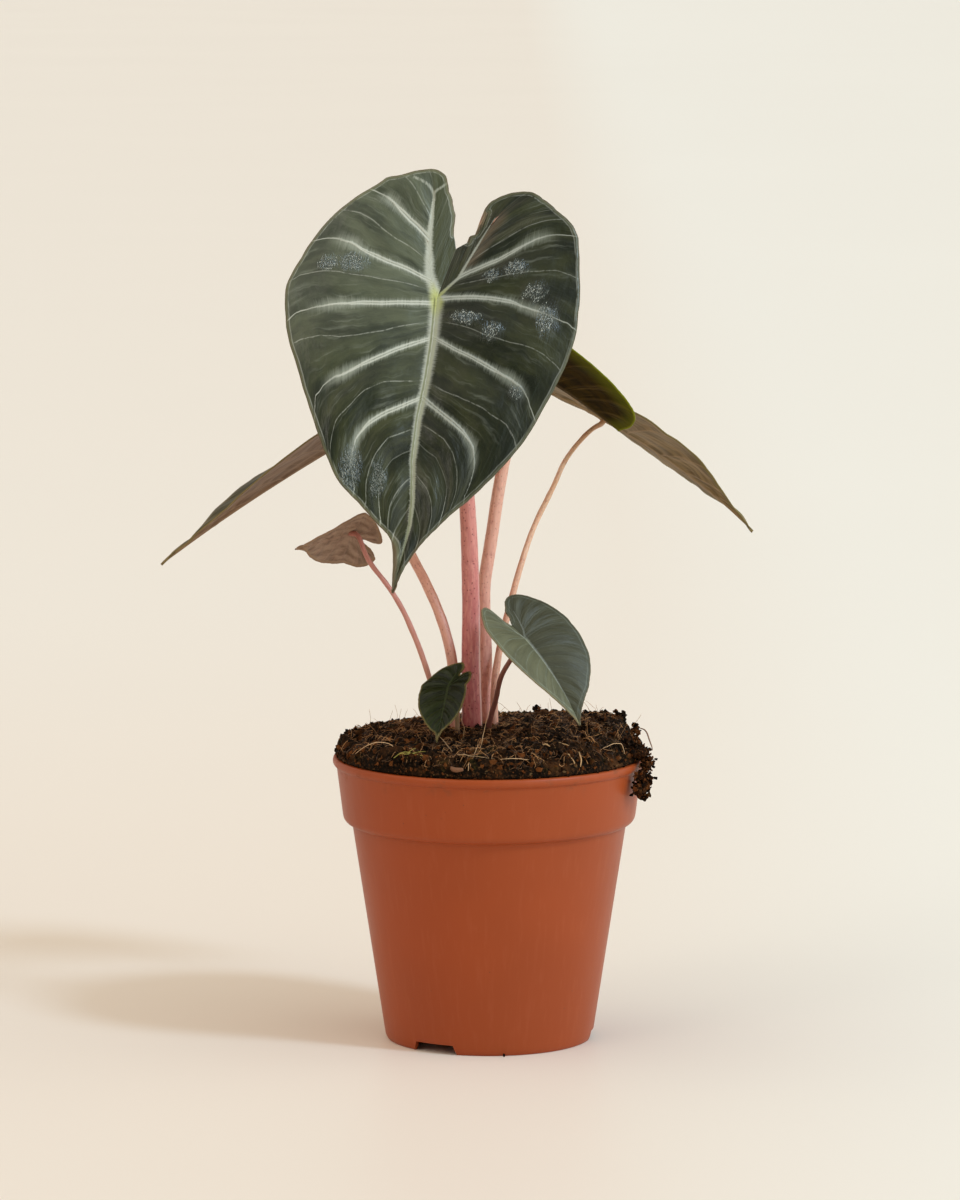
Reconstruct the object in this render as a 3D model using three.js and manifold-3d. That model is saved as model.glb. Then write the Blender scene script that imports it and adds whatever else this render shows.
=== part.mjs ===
// A potted pink dragon alocasia: seven leaves on pink stalks, standing in a mound of peat
// in a 12 cm nursery pot. Millimetres, +Z up. The origin is the middle of the pot's underside,
// on the surface that it stands on. The big leaf faces -Y and +X is to its right.

import * as THREE from 'three';
import { mergeGeometries, mergeVertices } from 'three/addons/utils/BufferGeometryUtils.js';
import Module from 'manifold-3d';

const wasm = await Module();
wasm.setup();

// Driving dimensions of the pot
const RIM_RADIUS = 60;
const POT_HEIGHT = 109.2;
const BASE_RADIUS = 39.9;
const WALL = 1.3;
const BAND_TOP_RADIUS = 58.4;
const BAND_BOTTOM_RADIUS = 55.9;
const BODY_TOP_RADIUS = 52.5;
const BAND_FOOT = 84;
const BAND_ROUND = 2.2;
const LIP_HEIGHT = 3.2;
const LIP_UNDER = POT_HEIGHT - LIP_HEIGHT;
const FLOOR_LIFT = 3.8;
const FOOT_INSET = 0.7;
const FOOT_NOTCH_WIDTH = 17;
const FOOT_NOTCH_DEPTH = 8;
const FOOT_NOTCH_ANGLES = [-122, -2, 118];
const DRAIN_HOLES = 8;
const DRAIN_RADIUS = 4;
const DRAIN_CIRCLE = 25;
const GATE_PAD_RADIUS = 6;
const POT_SIDES = 52;

// Driving dimensions of the soil
const CLEARANCE = 0.3;
const MOUND_TOP = 121.5;
const SOIL_SIDES = 44;
const LUMP_HEIGHT = 2.2;
const SPILL_ANGLE = -19;
const STALK_DEPTH = 14;

// Driving dimensions of the leaves
const BLADE_THICKNESS = 0.8;
const SEAT_GAP = 0.3;
const ATTACH_RIB = 5;
const LOBE_RIB = 8;
const LAST_RIB = 11;
const RIB_SWEEP = 0.62;
const RIB_ARCH = 0.2;
const RIB_HEIGHT = 0.014;
const COLUMN_CROWDING = 1.4;
const STALK_RINGS = 16;
const STALK_TAPER = 0.6;

const radians = THREE.MathUtils.degToRad;
const vector = (list) => new THREE.Vector3(...list);

// Each half of a blade is ruled by twelve ribs, counted from the tip round to the bottom of
// the notch between the lobes. A form gives where each rib ends on the margin, and where those
// of the lobe leave its own rib, along and across the leaf, as shares of the length from stalk
// to tip. The ribs beside the notch share the lobe's rib with the outer ones.
const MIDRIB_ROOTS = [[1, 0], [0.7, 0], [0.52, 0], [0.36, 0], [0.143, 0], [0, 0]];

const FORMS = {
  bigLeft: {
    margin: [[1, 0], [0.843, 0.026], [0.765, 0.1], [0.645, 0.226], [0.417, 0.362], [0.156, 0.467],
      [-0.087, 0.478], [-0.313, 0.354], [-0.428, 0.188], [-0.365, 0.091], [-0.287, 0.049],
      [-0.176, 0]],
    lobe: [[-0.078, 0.043], [-0.191, 0.089], [-0.33, 0.132]],
  },
  bigRight: {
    margin: [[1, 0], [0.862, 0.047], [0.765, 0.113], [0.626, 0.226], [0.405, 0.361], [0.043, 0.469],
      [-0.27, 0.367], [-0.365, 0.261], [-0.4, 0.157], [-0.348, 0.057], [-0.252, 0.05],
      [-0.176, 0]],
    lobe: [[-0.077, 0.044], [-0.174, 0.061], [-0.278, 0.08]],
  },
  common: {
    margin: [[1, 0], [0.86, 0.04], [0.765, 0.105], [0.63, 0.225], [0.41, 0.36], [0.1, 0.455],
      [-0.17, 0.43], [-0.335, 0.31], [-0.42, 0.17], [-0.36, 0.075], [-0.27, 0.04], [-0.176, 0]],
    lobe: [[-0.078, 0.043], [-0.18, 0.075], [-0.3, 0.105]],
  },
  curled: {
    margin: [[1, 0], [1.06, 0.15], [1.01, 0.27], [0.82, 0.35], [0.52, 0.42], [0.14, 0.47],
      [-0.17, 0.44], [-0.335, 0.31], [-0.42, 0.17], [-0.36, 0.075], [-0.27, 0.04], [-0.176, 0]],
    lobe: [[-0.078, 0.043], [-0.18, 0.075], [-0.3, 0.105]],
  },
  short: {
    margin: [[1, 0], [0.86, 0.04], [0.765, 0.105], [0.63, 0.21], [0.41, 0.31], [0.14, 0.34],
      [-0.08, 0.29], [-0.2, 0.2], [-0.26, 0.12], [-0.26, 0.07], [-0.23, 0.03], [-0.176, 0]],
    lobe: [[-0.06, 0.03], [-0.12, 0.055], [-0.19, 0.085]],
  },
};

// A leaf hangs from the point where its stalk meets it. It bends down by droop degrees from
// there to the tip, and by back degrees over a like length of the lobes. Each half rises from
// the midrib by its fold and turns further by its curl towards the margin. The whole blade
// rolls about its midrib by twist degrees from stalk to tip. The first value of a pair is for
// the half on the left, seen from above with the tip towards the viewer.
const LEAVES = {
  big_front: {
    forms: ['bigLeft', 'bigRight'], width: [1.01, 1], attach: [-19.7, -15, 285.7],
    tip: [-36.1, -55, 179.1], facing: [0.21, -0.93, 0.32], droop: 10, back: -35, lean: 0.224,
    fold: [-3, 20.5], curl: [-23, -14.5], twist: 0, wave: 1, quilt: 1.1, steps: 4, columns: 6,
    stalk: [[-6.6, -5], [-7, -7, 147], [-7, -8, 170], [-8.5, -11, 208.7], [-12.6, -8, 246.5]],
    stalkRadii: [4.3, 2.5], bend: 12, stalkSides: 12, colour: 0x3a4230, stalkColour: 0xb47668,
  },
  left: {
    forms: ['common', 'common'], width: [0.9, 0.9], attach: [-51.4, 20, 230.9],
    tip: [-125.2, 2, 182.6], facing: [-0.55, 0.02, 0.83], droop: 8.2, back: 30, lean: 0,
    fold: [7.7, 17.8], curl: [-7.4, -6.8], twist: -5.6, wave: 0.3, quilt: 0.5, steps: 3, columns: 3,
    stalk: [[-13.4, -8], [-14, -8, 145.5], [-18, -5, 161.7], [-24.1, -1, 175.7],
      [-29.1, 2, 184.9], [-39.8, 9, 206.4]],
    stalkRadii: [2.3, 1.7], bend: 8, stalkSides: 10, colour: 0x664e3c, stalkColour: 0xb78473,
  },
  lower_left: {
    forms: ['common', 'common'], width: [0.94, 1.03], attach: [-53.3, -10, 196],
    tip: [-73, -32, 192.7], facing: [-0.75, 0.66, 0.04], droop: 12, back: 24, lean: -0.65,
    fold: [13, -58], curl: [18, 19], twist: 0, wave: 0.5, quilt: 0.4, steps: 2, columns: 3,
    stalk: [[-18.4, -12], [-22.9, -14, 141.4], [-30.8, -15.5, 163.1], [-37.2, -16.5, 174.9],
      [-46, -16.5, 187]],
    stalkRadii: [1.3, 0.9], bend: 5, stalkSides: 8, colour: 0x8c6c58, stalkColour: 0xbb9b87,
  },
  back_right: {
    forms: ['curled', 'curled'], width: [1.06, 0.72], attach: [15.5, 12, 256.7],
    tip: [49.5, 8, 233], facing: [0.58, 0.09, 0.81], droop: 9.3, back: 10, lean: 0,
    fold: [49.6, 72], curl: [-9.9, 5], twist: 0, wave: 0.3, quilt: 0.4, steps: 3, columns: 3,
    stalk: [[-1.2, 6], [-1.6, 6, 149], [-2, 6, 172.5], [0.3, 7, 188.5], [5.2, 8, 219.2],
      [10.2, 9, 239]],
    stalkRadii: [3, 2.2], bend: 9, stalkSides: 10, colour: 0x4a4410, stalkColour: 0xc48c75,
  },
  right: {
    forms: ['common', 'common'], width: [1, 1], attach: [44.9, 48, 233.4],
    tip: [101.8, 30, 191.9], facing: [0.56, -0.12, 0.82], droop: 18.1, back: 30.9, lean: 0,
    fold: [21, -3.8], curl: [0.5, -18.2], twist: -15.4, wave: 0.3, quilt: 0.5, steps: 3, columns: 3,
    stalk: [[1.9, 0], [2, 0, 135.2], [3.7, 3, 148.3], [8.9, 9, 169.6], [12.4, 14, 181.5],
      [17.1, 21, 194.3], [22.4, 28, 205.1], [28.3, 35, 215.5], [34.4, 41, 224.2]],
    stalkRadii: [1.8, 1.1], bend: 5, stalkSides: 8, colour: 0x655135, stalkColour: 0xc8967d,
  },
  small_right: {
    forms: ['common', 'common'], width: [1.07, 1.19], attach: [13.4, -30, 158.4],
    tip: [34, -43.5, 127.4], facing: [0.47, -0.65, 0.59], droop: 25.9, back: -9.8, lean: -0.134,
    fold: [21.2, 26.5], curl: [-5.1, -28.7], twist: 7.4, wave: 0.4, quilt: 0.5, steps: 2, columns: 3,
    stalk: [[-0.5, -12], [1, -13.4, 127.7], [2.5, -15.2, 132.8], [4.4, -19.7, 142.1],
      [7.8, -23.9, 149]],
    stalkRadii: [1.1, 0.9], bend: 5, stalkSides: 8, colour: 0x444638, stalkColour: 0x8a4a3e,
  },
  low_front: {
    forms: ['common', 'short'], width: [1.06, 1.08], attach: [-15.4, -27, 139.7],
    tip: [-19.9, -40, 120.4], facing: [-0.33, -0.75, 0.58], droop: 1, back: -13.6, lean: 0.8,
    fold: [7.3, 16.1], curl: [-7.7, -12.5], twist: 0, wave: 0.3, quilt: 0.4, steps: 2, columns: 3,
    stalk: [[-12, -19], [-12.5, -19.6, 129]],
    stalkRadii: [1.1, 0.8], bend: 4, stalkSides: 8, colour: 0x27290f, stalkColour: 0x9a6a54,
  },
};

const POT_COLOUR = 0xa9572f;
const SOIL_COLOUR = 0x2b1d12;

// Solids

function plainCopy(geometry) {
  const plain = geometry.clone();
  plain.deleteAttribute('normal');
  plain.deleteAttribute('uv');
  return mergeVertices(plain, 1e-4);
}

function toSolid(geometry) {
  const plain = plainCopy(geometry);
  return new wasm.Manifold(new wasm.Mesh({
    numProp: 3,
    vertProperties: new Float32Array(plain.attributes.position.array),
    triVerts: new Uint32Array(plain.index.array),
  }));
}

function fromSolid(solid) {
  const mesh = solid.getMesh();
  const geometry = new THREE.BufferGeometry();
  geometry.setAttribute('position', new THREE.BufferAttribute(mesh.vertProperties, 3));
  geometry.setIndex(new THREE.BufferAttribute(mesh.triVerts, 1));
  return geometry;
}

function latheSolid(profile, sides) {
  const points = profile.map(([radius, height]) => new THREE.Vector2(radius, height));
  const geometry = new THREE.LatheGeometry(points, sides);
  geometry.rotateX(Math.PI / 2);
  return geometry;
}

// The pot

function potProfile() {
  const foot = BASE_RADIUS - FOOT_INSET;
  const floorTop = FLOOR_LIFT + WALL;
  return [
    [0, 0], [GATE_PAD_RADIUS, 0], [GATE_PAD_RADIUS, FLOOR_LIFT],
    [foot - WALL, FLOOR_LIFT], [foot - WALL, 0], [foot, 0], [BASE_RADIUS, 2 * FOOT_INSET],
    [BODY_TOP_RADIUS, BAND_FOOT - 0.6], [BAND_BOTTOM_RADIUS - 1.5, BAND_FOOT],
    [BAND_BOTTOM_RADIUS - 0.4, BAND_FOOT + 0.8], [BAND_BOTTOM_RADIUS, BAND_FOOT + BAND_ROUND],
    [BAND_TOP_RADIUS, LIP_UNDER - 0.4], [RIM_RADIUS - 1, LIP_UNDER],
    [RIM_RADIUS - 0.2, LIP_UNDER + 0.6], [RIM_RADIUS, POT_HEIGHT - 1.4],
    [RIM_RADIUS - 0.4, POT_HEIGHT - 0.4], [RIM_RADIUS - 1.3, POT_HEIGHT],
    [BAND_TOP_RADIUS - WALL + 0.6, POT_HEIGHT - 0.2], [BAND_TOP_RADIUS - WALL, POT_HEIGHT - 1],
    [BAND_BOTTOM_RADIUS - WALL, BAND_FOOT + 3.4], [BODY_TOP_RADIUS - WALL, BAND_FOOT + 0.8],
    [BASE_RADIUS - WALL + 0.5, floorTop + 1.2], [BASE_RADIUS - WALL - 1, floorTop],
    [0, floorTop],
  ];
}

function footNotch(degrees) {
  const outline = new THREE.Shape([
    new THREE.Vector2(-FOOT_NOTCH_WIDTH / 2, -1), new THREE.Vector2(FOOT_NOTCH_WIDTH / 2, -1),
    new THREE.Vector2(FOOT_NOTCH_WIDTH / 2 - 1.4, FLOOR_LIFT - 0.1),
    new THREE.Vector2(1.4 - FOOT_NOTCH_WIDTH / 2, FLOOR_LIFT - 0.1),
  ]);
  const settings = { depth: FOOT_NOTCH_DEPTH, bevelEnabled: false };
  const notch = new THREE.ExtrudeGeometry(outline, settings);
  notch.rotateX(Math.PI / 2);
  notch.translate(0, BASE_RADIUS + FOOT_NOTCH_DEPTH / 2, 0);
  notch.rotateZ(radians(degrees - 90));
  return toSolid(notch);
}

function drainHole(index) {
  const hole = new THREE.CylinderGeometry(DRAIN_RADIUS, DRAIN_RADIUS, 4 * WALL, 14);
  hole.rotateX(Math.PI / 2);
  hole.translate(DRAIN_CIRCLE, 0, FLOOR_LIFT + WALL / 2);
  hole.rotateZ(radians(360 * (index + 0.5) / DRAIN_HOLES));
  return toSolid(hole);
}

function pot() {
  let body = toSolid(latheSolid(potProfile(), POT_SIDES));
  for (const degrees of FOOT_NOTCH_ANGLES) body = body.subtract(footNotch(degrees));
  for (let index = 0; index < DRAIN_HOLES; index++) body = body.subtract(drainHole(index));
  return fromSolid(body);
}

// Leaves

function marginPoint(form, q) {
  const curve = new THREE.SplineCurve(form.margin.map(([u, v]) => new THREE.Vector2(u, v)));
  return curve.getPoint(q / LAST_RIB);
}

function rootPoint(form, q) {
  const roots = [...MIDRIB_ROOTS, ...form.lobe];
  const place = q <= LOBE_RIB ? q : 2 * LOBE_RIB - q;
  const first = Math.min(Math.floor(place), LOBE_RIB - 1);
  const [from, to] = [roots[first], roots[first + 1]];
  return new THREE.Vector2(...from).lerp(new THREE.Vector2(...to), place - first);
}

// The point of a half blade on rib q, a share t of the way from its root to the margin
function flatPoint(form, q, t) {
  const root = rootPoint(form, q);
  const reach = marginPoint(form, q).sub(root);
  const arch = RIB_ARCH * Math.min((LAST_RIB - q) / (LAST_RIB - LOBE_RIB + 1), 1);
  const knee = new THREE.Vector2(-reach.y, reach.x).multiplyScalar(arch);
  knee.addScaledVector(reach, RIB_SWEEP);
  return root.addScaledVector(knee, 2 * t * (1 - t)).addScaledVector(reach, t * t);
}

function leafFrame(leaf) {
  const [attach, tip] = [vector(leaf.attach), vector(leaf.tip)];
  const chord = tip.clone().sub(attach);
  const half = radians(leaf.droop) / 2;
  const length = chord.length() * half / Math.sin(half);
  chord.normalize();
  const above = vector(leaf.facing);
  above.addScaledVector(chord, -above.dot(chord)).normalize();
  const heading = chord.clone().multiplyScalar(Math.cos(half));
  heading.addScaledVector(above, Math.sin(half));
  const normal = above.multiplyScalar(Math.cos(half)).addScaledVector(chord, -Math.sin(half));
  return { attach, heading, normal, length, side: normal.clone().cross(heading) };
}

// How far the blade stands above its bent sheet: it swells between ribs and waves at the margin
function relief(leaf, side, q, t) {
  const swell = leaf.quilt * Math.sin(Math.PI * (q % 1)) ** 2 * Math.sin(Math.PI * t);
  const wave = leaf.wave * side * t * t * Math.sin(5 * Math.PI * q / LAST_RIB);
  return swell + wave;
}

// The bent place of a half blade's point on rib q at share t
function bladePoint(leaf, frame, side, q, t) {
  const half = side < 0 ? 0 : 1;
  const flat = flatPoint(FORMS[leaf.forms[half]], q, t);
  const along = flat.x * frame.length;
  const across = flat.y * frame.length * leaf.width[half];
  const turn = radians(along < 0 ? leaf.back : leaf.droop) / frame.length;
  const fold = radians(leaf.fold[half] + side * leaf.twist * flat.x);
  const curl = radians(leaf.curl[half]) / (frame.length / 2);
  const place = frame.attach.clone();
  place.addScaledVector(frame.heading, Math.sin(turn * along) / turn);
  place.addScaledVector(frame.normal, (Math.cos(turn * along) - 1) / turn);
  const up = frame.normal.clone().multiplyScalar(Math.cos(turn * along));
  up.addScaledVector(frame.heading, Math.sin(turn * along));
  const slope = fold + curl * across;
  const out = (Math.sin(slope) - Math.sin(fold)) / curl;
  const rise = (Math.cos(fold) - Math.cos(slope)) / curl;
  const shift = leaf.lean * Math.max(-along, 0);
  const height = relief(leaf, side, q, t);
  place.addScaledVector(frame.side, side * (out - height * Math.sin(slope)) + shift);
  return place.addScaledVector(up, rise + height * Math.cos(slope));
}

function ribHeight(frame, q, t) {
  if (t > 0) return 0;
  const place = q <= LOBE_RIB ? q : 2 * LOBE_RIB - q;
  const taper = Math.min(place / ATTACH_RIB, (LOBE_RIB - place) / (LOBE_RIB - ATTACH_RIB));
  return RIB_HEIGHT * frame.length * Math.sqrt(taper);
}

function halfSheet(leaf, frame, side) {
  const rows = LAST_RIB * leaf.steps;
  const sheet = new THREE.PlaneGeometry(1, 1, rows, leaf.columns);
  const { position } = sheet.attributes;
  const ribs = new Float32Array(position.count);
  for (let i = 0; i < position.count; i++) {
    const q = Math.round((position.getX(i) + 0.5) * rows) / leaf.steps;
    const column = Math.round((position.getY(i) + 0.5) * leaf.columns);
    const t = (column / leaf.columns) ** COLUMN_CROWDING;
    position.setXYZ(i, ...bladePoint(leaf, frame, side, q, t));
    ribs[i] = ribHeight(frame, q, t);
  }
  sheet.setAttribute('rib', new THREE.BufferAttribute(ribs, 1));
  sheet.deleteAttribute('normal');
  sheet.deleteAttribute('uv');
  if (side > 0) sheet.index.array.reverse();
  return sheet;
}

function dropSlivers(sheet) {
  const kept = [];
  const { array } = sheet.index;
  for (let i = 0; i < array.length; i += 3) {
    const [a, b, c] = [array[i], array[i + 1], array[i + 2]];
    if (a !== b && b !== c && c !== a) kept.push(a, b, c);
  }
  sheet.setIndex(kept);
}

// Two skins on either side of an open sheet, with the same triangles, and a rim between them
function thicken(sheet) {
  sheet.computeVertexNormals();
  const { position, normal, rib } = sheet.attributes;
  const triangles = Array.from(sheet.index.array);
  const count = position.count;
  const points = new Float32Array(count * 6);
  for (let i = 0; i < count; i++) {
    const middle = new THREE.Vector3().fromBufferAttribute(position, i);
    const up = new THREE.Vector3().fromBufferAttribute(normal, i);
    const top = middle.clone().addScaledVector(up, BLADE_THICKNESS / 2);
    const bottom = middle.addScaledVector(up, -BLADE_THICKNESS / 2 - rib.getX(i));
    top.toArray(points, i * 3);
    bottom.toArray(points, (count + i) * 3);
  }
  const edges = new Set();
  for (let i = 0; i < triangles.length; i += 3) {
    for (let k = 0; k < 3; k++) edges.add(`${triangles[i + k]}:${triangles[i + (k + 1) % 3]}`);
  }
  const faces = [...triangles];
  for (let i = 0; i < triangles.length; i += 3) {
    faces.push(...[2, 1, 0].map((k) => count + triangles[i + k]));
    for (let k = 0; k < 3; k++) {
      const [a, b] = [triangles[i + k], triangles[i + (k + 1) % 3]];
      if (!edges.has(`${b}:${a}`)) faces.push(b, a, count + a, b, count + a, count + b);
    }
  }
  const solid = new THREE.BufferGeometry();
  solid.setAttribute('position', new THREE.BufferAttribute(points, 3));
  solid.setIndex(faces);
  return solid;
}

function blade(leaf) {
  const frame = leafFrame(leaf);
  const sheet = mergeVertices(mergeGeometries([-1, 1].map((side) => halfSheet(leaf, frame, side))));
  dropSlivers(sheet);
  return thicken(sheet);
}

// A stalk runs up out of its hole, leans out and meets the underside of its blade squarely
function stalkCurve(leaf, extraDepth = 0) {
  const frame = leafFrame(leaf);
  const [[x, y], ...rest] = leaf.stalk;
  const dip = leaf.stalkRadii[1] * Math.tan(radians(Math.max(0, ...leaf.fold.map((fold) => -fold))));
  const seat = BLADE_THICKNESS / 2 + ribHeight(frame, ATTACH_RIB, 0) + SEAT_GAP + dip;
  const foot = MOUND_TOP - STALK_DEPTH - extraDepth;
  return new THREE.CatmullRomCurve3([
    vector([x, y, foot]), vector([x, y, MOUND_TOP - 2]), ...rest.map(vector),
    frame.attach.clone().addScaledVector(frame.normal, -leaf.bend),
    frame.attach.clone().addScaledVector(frame.normal, -seat),
  ], false, 'centripetal');
}

function stalk(leaf, extraRadius = 0, extraDepth = 0) {
  const curve = stalkCurve(leaf, extraDepth);
  const frames = curve.computeFrenetFrames(STALK_RINGS);
  const tube = new THREE.CylinderGeometry(1, 1, 1, leaf.stalkSides, STALK_RINGS);
  const { position } = tube.attributes;
  const [base, top] = leaf.stalkRadii;
  for (let i = 0; i < position.count; i++) {
    const ring = Math.round((position.getY(i) + 0.5) * STALK_RINGS);
    const share = ring / STALK_RINGS;
    const radius = THREE.MathUtils.lerp(base, top, share ** STALK_TAPER) + extraRadius;
    const place = curve.getPointAt(share);
    place.addScaledVector(frames.normals[ring], radius * position.getX(i));
    place.addScaledVector(frames.binormals[ring], -radius * position.getZ(i));
    position.setXYZ(i, ...place);
  }
  return plainCopy(tube);
}

// Soil

// A fixed rough pattern between 0 and 1, the same at the same place
function unevenness(x, y, z) {
  const coarse = Math.sin(x * 0.31 + 1.7) * Math.sin(y * 0.37 + 0.6) * Math.cos(z * 0.2);
  const middle = Math.sin(x * 0.73 - y * 0.52 + 2.1) * Math.sin(y * 0.81 + x * 0.33 + z * 0.7);
  const fine = Math.sin(x * 1.9 + y * 1.3) * Math.cos(y * 2.3 - x * 1.1 + z * 1.7);
  return 0.5 + 0.22 * coarse + 0.18 * middle + 0.1 * fine;
}

function moundProfile() {
  const floor = FLOOR_LIFT + WALL + CLEARANCE;
  const inside = WALL + CLEARANCE + 0.2;
  const bandStart = BAND_FOOT + BAND_ROUND;
  const bandInside = (height) => THREE.MathUtils.lerp(
    BAND_BOTTOM_RADIUS, BAND_TOP_RADIUS, (height - bandStart) / (LIP_UNDER - bandStart));
  return [
    [0, floor], [BASE_RADIUS - WALL - 1.6, floor], [BASE_RADIUS - inside + 0.4, floor + 1.6],
    [BODY_TOP_RADIUS - inside, BAND_FOOT + 1.2], [bandInside(88) - inside, BAND_FOOT + 4.4],
    [bandInside(104) - inside, POT_HEIGHT - 1.2], [BAND_TOP_RADIUS - inside, POT_HEIGHT + 0.6],
    [RIM_RADIUS - 1.8, POT_HEIGHT + 0.9], [RIM_RADIUS - 1.2, POT_HEIGHT + 2],
    [RIM_RADIUS - 3, POT_HEIGHT + 4.2], [52, 116], [47, 117.8], [41.5, 119], [35.5, 119.6],
    [29, 119.7], [23, 119.6], [17, 119.6], [11, 119.4], [5.5, 119.3], [0, 119.3],
  ];
}

function mound() {
  const geometry = latheSolid(moundProfile(), SOIL_SIDES);
  const { position } = geometry.attributes;
  for (let i = 0; i < position.count; i++) {
    const place = new THREE.Vector3().fromBufferAttribute(position, i);
    if (place.z < POT_HEIGHT + 1.5) continue;
    const radius = Math.hypot(place.x, place.y);
    const rough = LUMP_HEIGHT * unevenness(place.x, place.y, place.z);
    const right = 4.5 * Math.exp(-(((place.x - 49) / 13) ** 2) - ((place.y / 30) ** 2));
    const hollow = 2.6 * Math.exp(-(((place.x + 20) / 15) ** 2) - (((place.y + 42) / 16) ** 2));
    const slump = 2.6 * THREE.MathUtils.smoothstep(place.y - 0.8 * place.x, 0, 40);
    position.setZ(i, place.z + rough + (radius > 54 ? 0 : right - hollow - slump));
  }
  return toSolid(geometry);
}

function crumb(x, y, z, radius, detail) {
  const ball = plainCopy(new THREE.IcosahedronGeometry(radius, detail));
  const { position } = ball.attributes;
  for (let i = 0; i < position.count; i++) {
    const place = new THREE.Vector3().fromBufferAttribute(position, i);
    const scale = 0.8 + 0.35 * unevenness(place.x * 3 + x, place.y * 3 + y, place.z * 3 + z);
    position.setXYZ(i, place.x * scale + x, place.y * scale + y, place.z * scale + z);
  }
  return toSolid(ball);
}

// Lumps that stand out of the mound: x, y, height of the middle and radius
const CRUMBS = [
  [-44, 12, 116.6, 3], [-30, 26, 118.2, 2.6], [20, 22, 120.3, 2.4], [33, 14, 121.4, 2.6],
  [53, 2, 121, 3.2], [47, -14, 120.5, 3.4], [-22, -32, 119.6, 3], [8, -40, 118.6, 3.2],
  [27, -34, 119.3, 3], [-48, -16, 116, 3], [38, -36, 116.5, 3.2], [-8, 38, 117.4, 2.8],
];

// The clump that spills over the lip: distance from the axis, height, degrees aside and radius
const SPILL = [
  [54.5, 115.5, 0, 4.6], [55, 115, 5, 3.4], [59.6, 113.4, -1, 3.9], [60.6, 112.6, 3, 2.9],
  [63.4, 110.4, 0.5, 2.7], [63.6, 108, -1.5, 2.3], [63.1, 105.2, -4, 2.9], [63, 103.4, 0, 2.6],
  [62.3, 101.8, -2.5, 3], [61.6, 99.6, -5.5, 2.3], [62.2, 99, 0.8, 2.3], [61.6, 96.8, 0.4, 1.8],
];

function soil() {
  let body = mound();
  for (const [x, y, z, radius] of CRUMBS) body = body.add(crumb(x, y, z, radius, 0));
  for (const [distance, height, aside, radius] of SPILL) {
    const angle = radians(SPILL_ANGLE + aside);
    body = body.add(crumb(distance * Math.cos(angle), distance * Math.sin(angle), height, radius, 1));
  }
  for (const leaf of Object.values(LEAVES)) {
    body = body.subtract(toSolid(stalk(leaf, CLEARANCE, CLEARANCE)));
  }
  return fromSolid(body);
}

// The plant

function piece(name, geometry, color, roughness) {
  const material = new THREE.MeshStandardMaterial({ color, roughness, metalness: 0 });
  const mesh = new THREE.Mesh(geometry, material);
  mesh.name = name;
  return mesh;
}

const plant = new THREE.Group();
plant.add(piece('pot', pot(), POT_COLOUR, 0.42), piece('soil', soil(), SOIL_COLOUR, 0.95));
for (const [name, leaf] of Object.entries(LEAVES)) {
  plant.add(piece(`blade_${name}`, blade(leaf), leaf.colour, 0.38));
  plant.add(piece(`stalk_${name}`, stalk(leaf), leaf.stalkColour, 0.5));
}

export default plant;
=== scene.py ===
import math
import random
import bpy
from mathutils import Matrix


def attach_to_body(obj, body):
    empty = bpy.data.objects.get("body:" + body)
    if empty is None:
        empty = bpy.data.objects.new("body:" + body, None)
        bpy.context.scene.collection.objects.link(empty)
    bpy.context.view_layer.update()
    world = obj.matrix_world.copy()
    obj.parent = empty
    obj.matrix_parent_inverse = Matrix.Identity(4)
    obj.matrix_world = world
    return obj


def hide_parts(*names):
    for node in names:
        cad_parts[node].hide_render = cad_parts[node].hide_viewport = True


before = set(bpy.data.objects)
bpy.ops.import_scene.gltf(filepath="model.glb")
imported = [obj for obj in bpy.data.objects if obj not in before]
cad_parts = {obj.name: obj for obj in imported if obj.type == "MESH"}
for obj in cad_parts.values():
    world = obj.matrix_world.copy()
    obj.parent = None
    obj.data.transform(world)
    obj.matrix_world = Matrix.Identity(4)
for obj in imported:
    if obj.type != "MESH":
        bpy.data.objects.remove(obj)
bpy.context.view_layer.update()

from types import SimpleNamespace

import bmesh
import bpy
import numpy as np
from mathutils import Euler, Matrix, Vector, noise

bl_info = {
    "name": "Potted pink dragon alocasia",
    "version": (1, 0, 0),
    "blender": (4, 5, 0),
    "location": "3D View > Sidebar > Alocasia",
    "description": "A leafy house plant with pink stalks in a nursery pot",
    "category": "Add Mesh",
}

MM = 0.001
SHAPES_A_PART = 100

# The leaves, in millimetres and degrees, as the solids have them. A form gives where each of
# the twelve ribs of a half blade ends on the margin, and the lobe's own rib, as shares of the
# length from stalk to tip.
MIDRIB_ROOTS = [(1, 0), (0.7, 0), (0.52, 0), (0.36, 0), (0.143, 0), (0, 0)]
LAST_RIB, LOBE_RIB, ATTACH_RIB = 11, 8, 5
HALF_RIBS = 2 * LAST_RIB + 1
RIB_SWEEP, RIB_ARCH, RIB_HEIGHT = 0.62, 0.2, 0.014
LONG_LEAF = 90

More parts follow.
